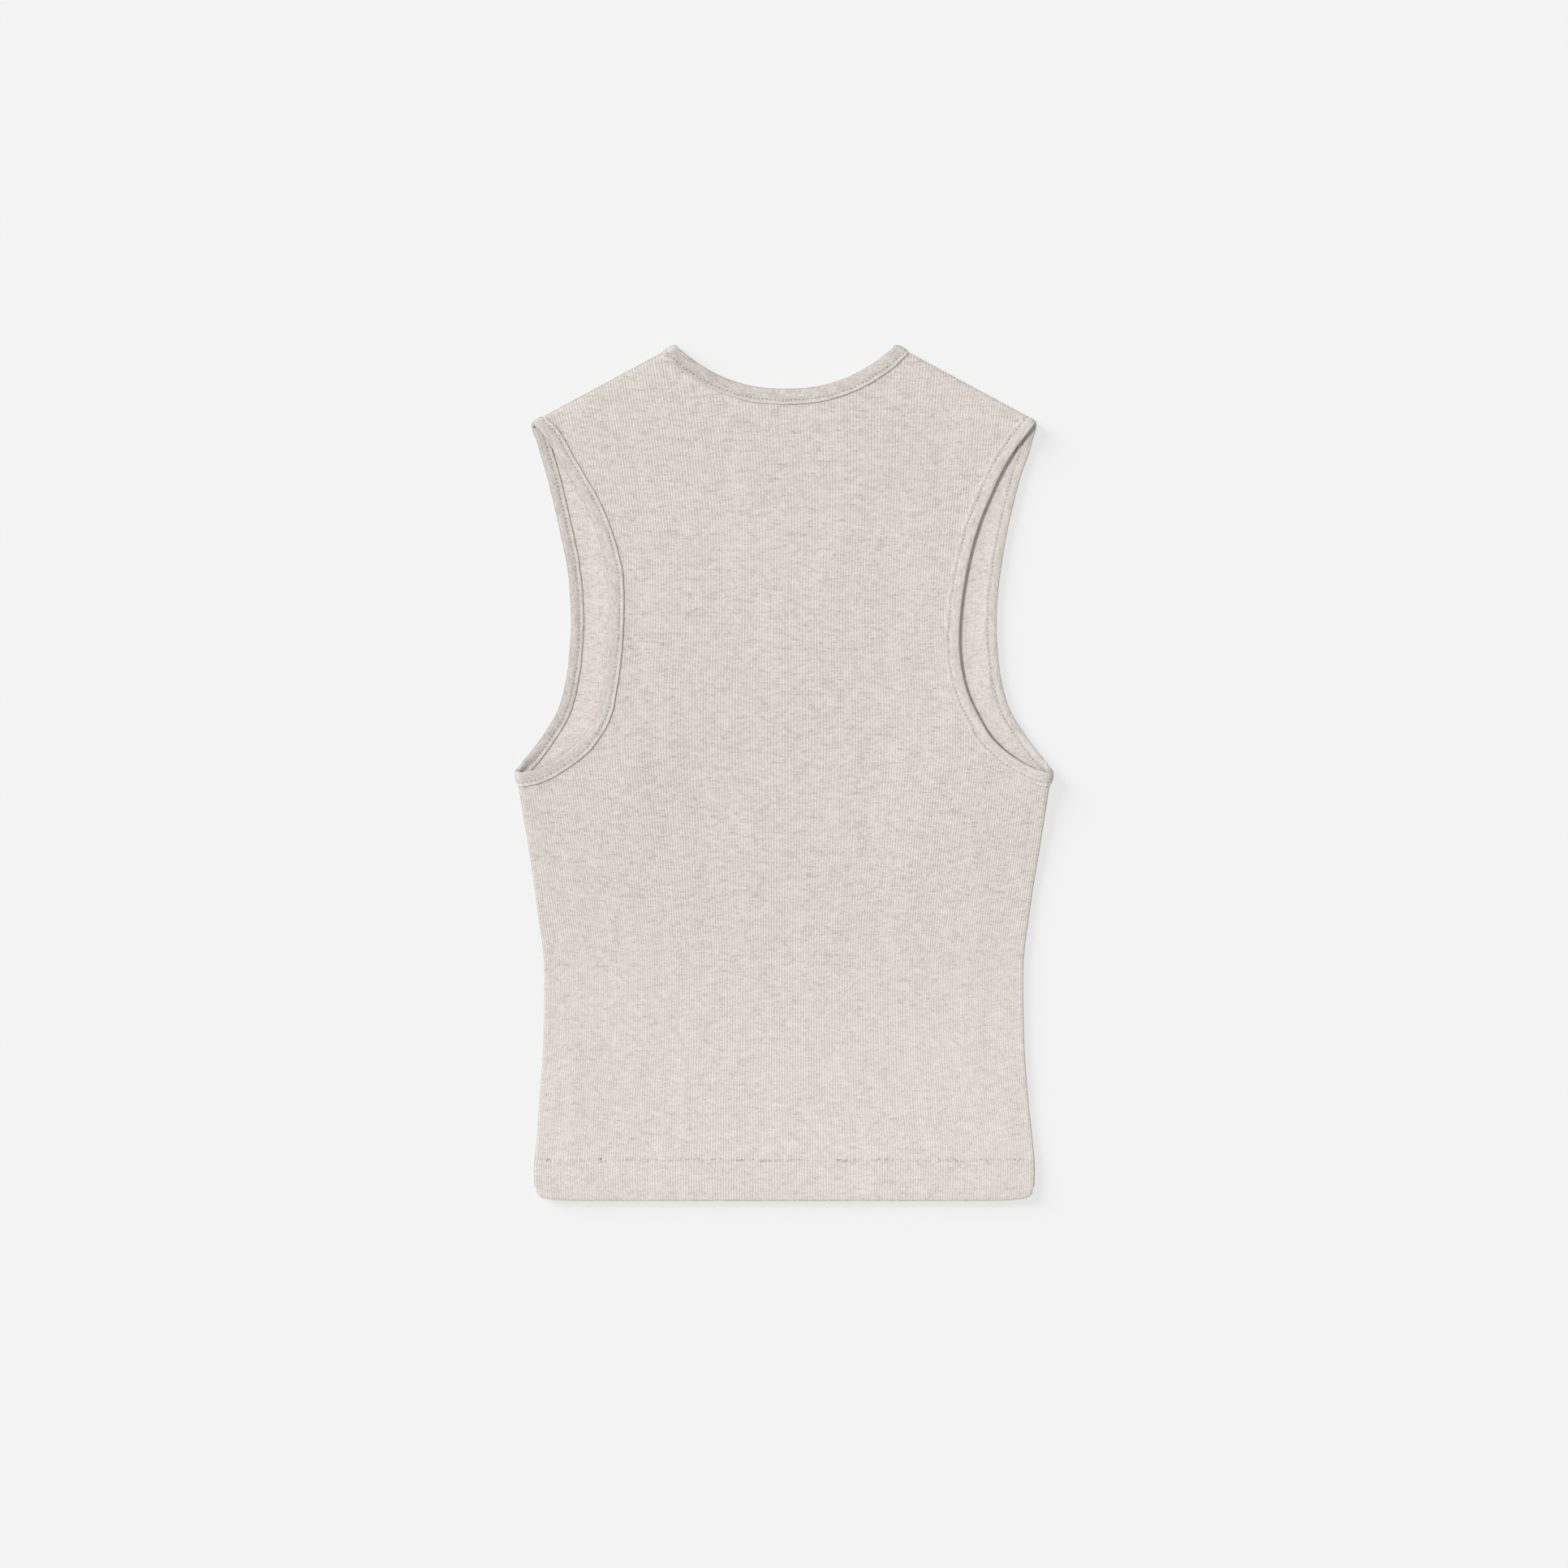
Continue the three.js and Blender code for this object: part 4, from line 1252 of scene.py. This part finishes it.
class TANKTOP_OT_bindings(bpy.types.Operator):
    """Adds the folded strips round the neck and the armholes"""

    bl_idname = "tanktop.bindings"
    bl_label = "Add the bindings"

    def execute(self, context):
        scene = context.scene
        cloth, binding, colours = scene.tank_top_cloth, scene.tank_top_binding, scene.tank_top_colours
        for name, strip in strips(scene).items():
            gathered = 1.0 if name == "neck" else 0.0
            material = binding_material(f"{name}_strip", colours, strip, STRIP_SHADES[name], gathered)
            piece = build_strip(f"{name}_strip", strip, cloth, binding, STRIP_SEEDS[name], material)
            dress(piece, f"{name}_binding")
            piece["strip_length"] = strip.length
        return {"FINISHED"}


class TANKTOP_OT_stitching(bpy.types.Operator):
    """Adds the topstitching of the bindings and the hem"""

    bl_idname = "tanktop.stitching"
    bl_label = "Add the stitching"

    def execute(self, context):
        scene = context.scene
        cloth, binding, colours = scene.tank_top_cloth, scene.tank_top_binding, scene.tank_top_colours
        thread = thread_material("sewing_thread", colours.thread)
        for name, strip in strips(scene).items():
            piece = strip_stitches(f"{name}_stitches", strip, cloth, binding, STRIP_SEEDS[name], thread)
            dress(piece, None)
        for name, face in (("back", BACK), ("front", FRONT)):
            dress(hem_stitches(f"{name}_hem_stitches", cloth, binding, face, thread), None)
        return {"FINISHED"}


class TANKTOP_OT_declare(bpy.types.Operator):
    """Does nothing: the panels hold their flat area and the strips their length from when they are made"""

    bl_idname = "tanktop.declare"
    bl_label = "Declare the cloth"

    def execute(self, context):
        return {"FINISHED"}


def add_lamp(name, strength, height, size, turn, floor, on_floor):
    """A far, wide light from the left, at a height and turned towards the neck, which shines on
    the floor alone or on all but the floor."""
    light = bpy.data.lights.new(name, "SUN")
    light.energy = strength
    light.angle = size
    lamp = bpy.data.objects.new(name, light)
    lamp.matrix_world = Matrix.Rotation(-turn, 4, "Z") @ Matrix.Rotation(height - math.pi / 2, 4, "Y")
    bpy.context.collection.objects.link(lamp)
    lit = bpy.data.collections.new(f"lit_by_{name}")
    lit.objects.link(floor)
    lit.collection_objects[0].light_linking.link_state = "INCLUDE" if on_floor else "EXCLUDE"
    lamp.light_linking.receiver_collection = lit


class TANKTOP_OT_stage(bpy.types.Operator):
    """Adds the pale floor, the soft light and the camera straight above"""

    bl_idname = "tanktop.stage"
    bl_label = "Add the stage"

    def execute(self, context):
        scene = context.scene
        stage = scene.tank_top_stage
        for other in context.selected_objects:
            other.select_set(False)
        bpy.ops.mesh.primitive_plane_add(size=FLOOR_SIZE, location=(0, 0, -FLOOR_DROP))
        floor = context.object
        floor.name = "floor"
        floor.data.materials.append(floor_material("pale_floor", scene.tank_top_colours.floor, stage.glow))

        world = bpy.data.worlds.new("studio")
        world.use_nodes = True
        background = world.node_tree.nodes["Background"]
        background.inputs["Color"].default_value = (1, 1, 1, 1)
        background.inputs["Strength"].default_value = stage.sky
        scene.world = world

        add_lamp("key", stage.key, stage.key_height, stage.key_size, stage.turn, floor, False)
        add_lamp("low", stage.low, stage.low_height, stage.low_size, stage.turn, floor, False)
        add_lamp("wash", stage.wash, stage.wash_height, stage.wash_size, stage.wash_turn, floor, True)

        camera = bpy.data.cameras.new("above")
        camera.sensor_width = 36
        camera.lens = camera.sensor_width * stage.camera_height / stage.picture_width
        camera.clip_end = 20
        above = bpy.data.objects.new("above", camera)
        above.location = (0, -stage.picture_down, stage.camera_height)
        context.collection.objects.link(above)
        scene.camera = above
        scene.view_settings.view_transform = "Standard"
        return {"FINISHED"}


class TANKTOP_PT_sidebar(bpy.types.Panel):
    """Lists the steps that build the tank top, and its sizes and colours"""

    bl_idname = "TANKTOP_PT_sidebar"
    bl_label = "Tank Top"
    bl_space_type = "VIEW_3D"
    bl_region_type = "UI"
    bl_category = "Tank Top"

    def draw(self, context):
        for operator in OPERATORS:
            self.layout.operator(operator.bl_idname)
        for name in GROUPS:
            group = getattr(context.scene, name)
            box = self.layout.box()
            for setting in group.bl_rna.properties:
                if setting.identifier not in ("rna_type", "name"):
                    box.prop(group, setting.identifier)


OPERATORS = (
    TANKTOP_OT_stage,
    TANKTOP_OT_panels,
    TANKTOP_OT_bindings,
    TANKTOP_OT_stitching,
    TANKTOP_OT_declare,
)
GROUPS = {
    "tank_top_cloth": TankTopCloth,
    "tank_top_binding": TankTopBinding,
    "tank_top_colours": TankTopColours,
    "tank_top_stage": TankTopStage,
}


def register():
    for group in (*GROUPS.values(), *OPERATORS, TANKTOP_PT_sidebar):
        bpy.utils.register_class(group)
    for name, group in GROUPS.items():
        setattr(bpy.types.Scene, name, bpy.props.PointerProperty(type=group))


def unregister():
    for name in GROUPS:
        delattr(bpy.types.Scene, name)
    for group in reversed((*GROUPS.values(), *OPERATORS, TANKTOP_PT_sidebar)):
        bpy.utils.unregister_class(group)


def main():
    register()
    bpy.ops.tanktop.stage()
    bpy.ops.tanktop.panels()
    bpy.ops.tanktop.bindings()
    bpy.ops.tanktop.stitching()
    bpy.ops.tanktop.declare()


if __name__ == "__main__":
    main()
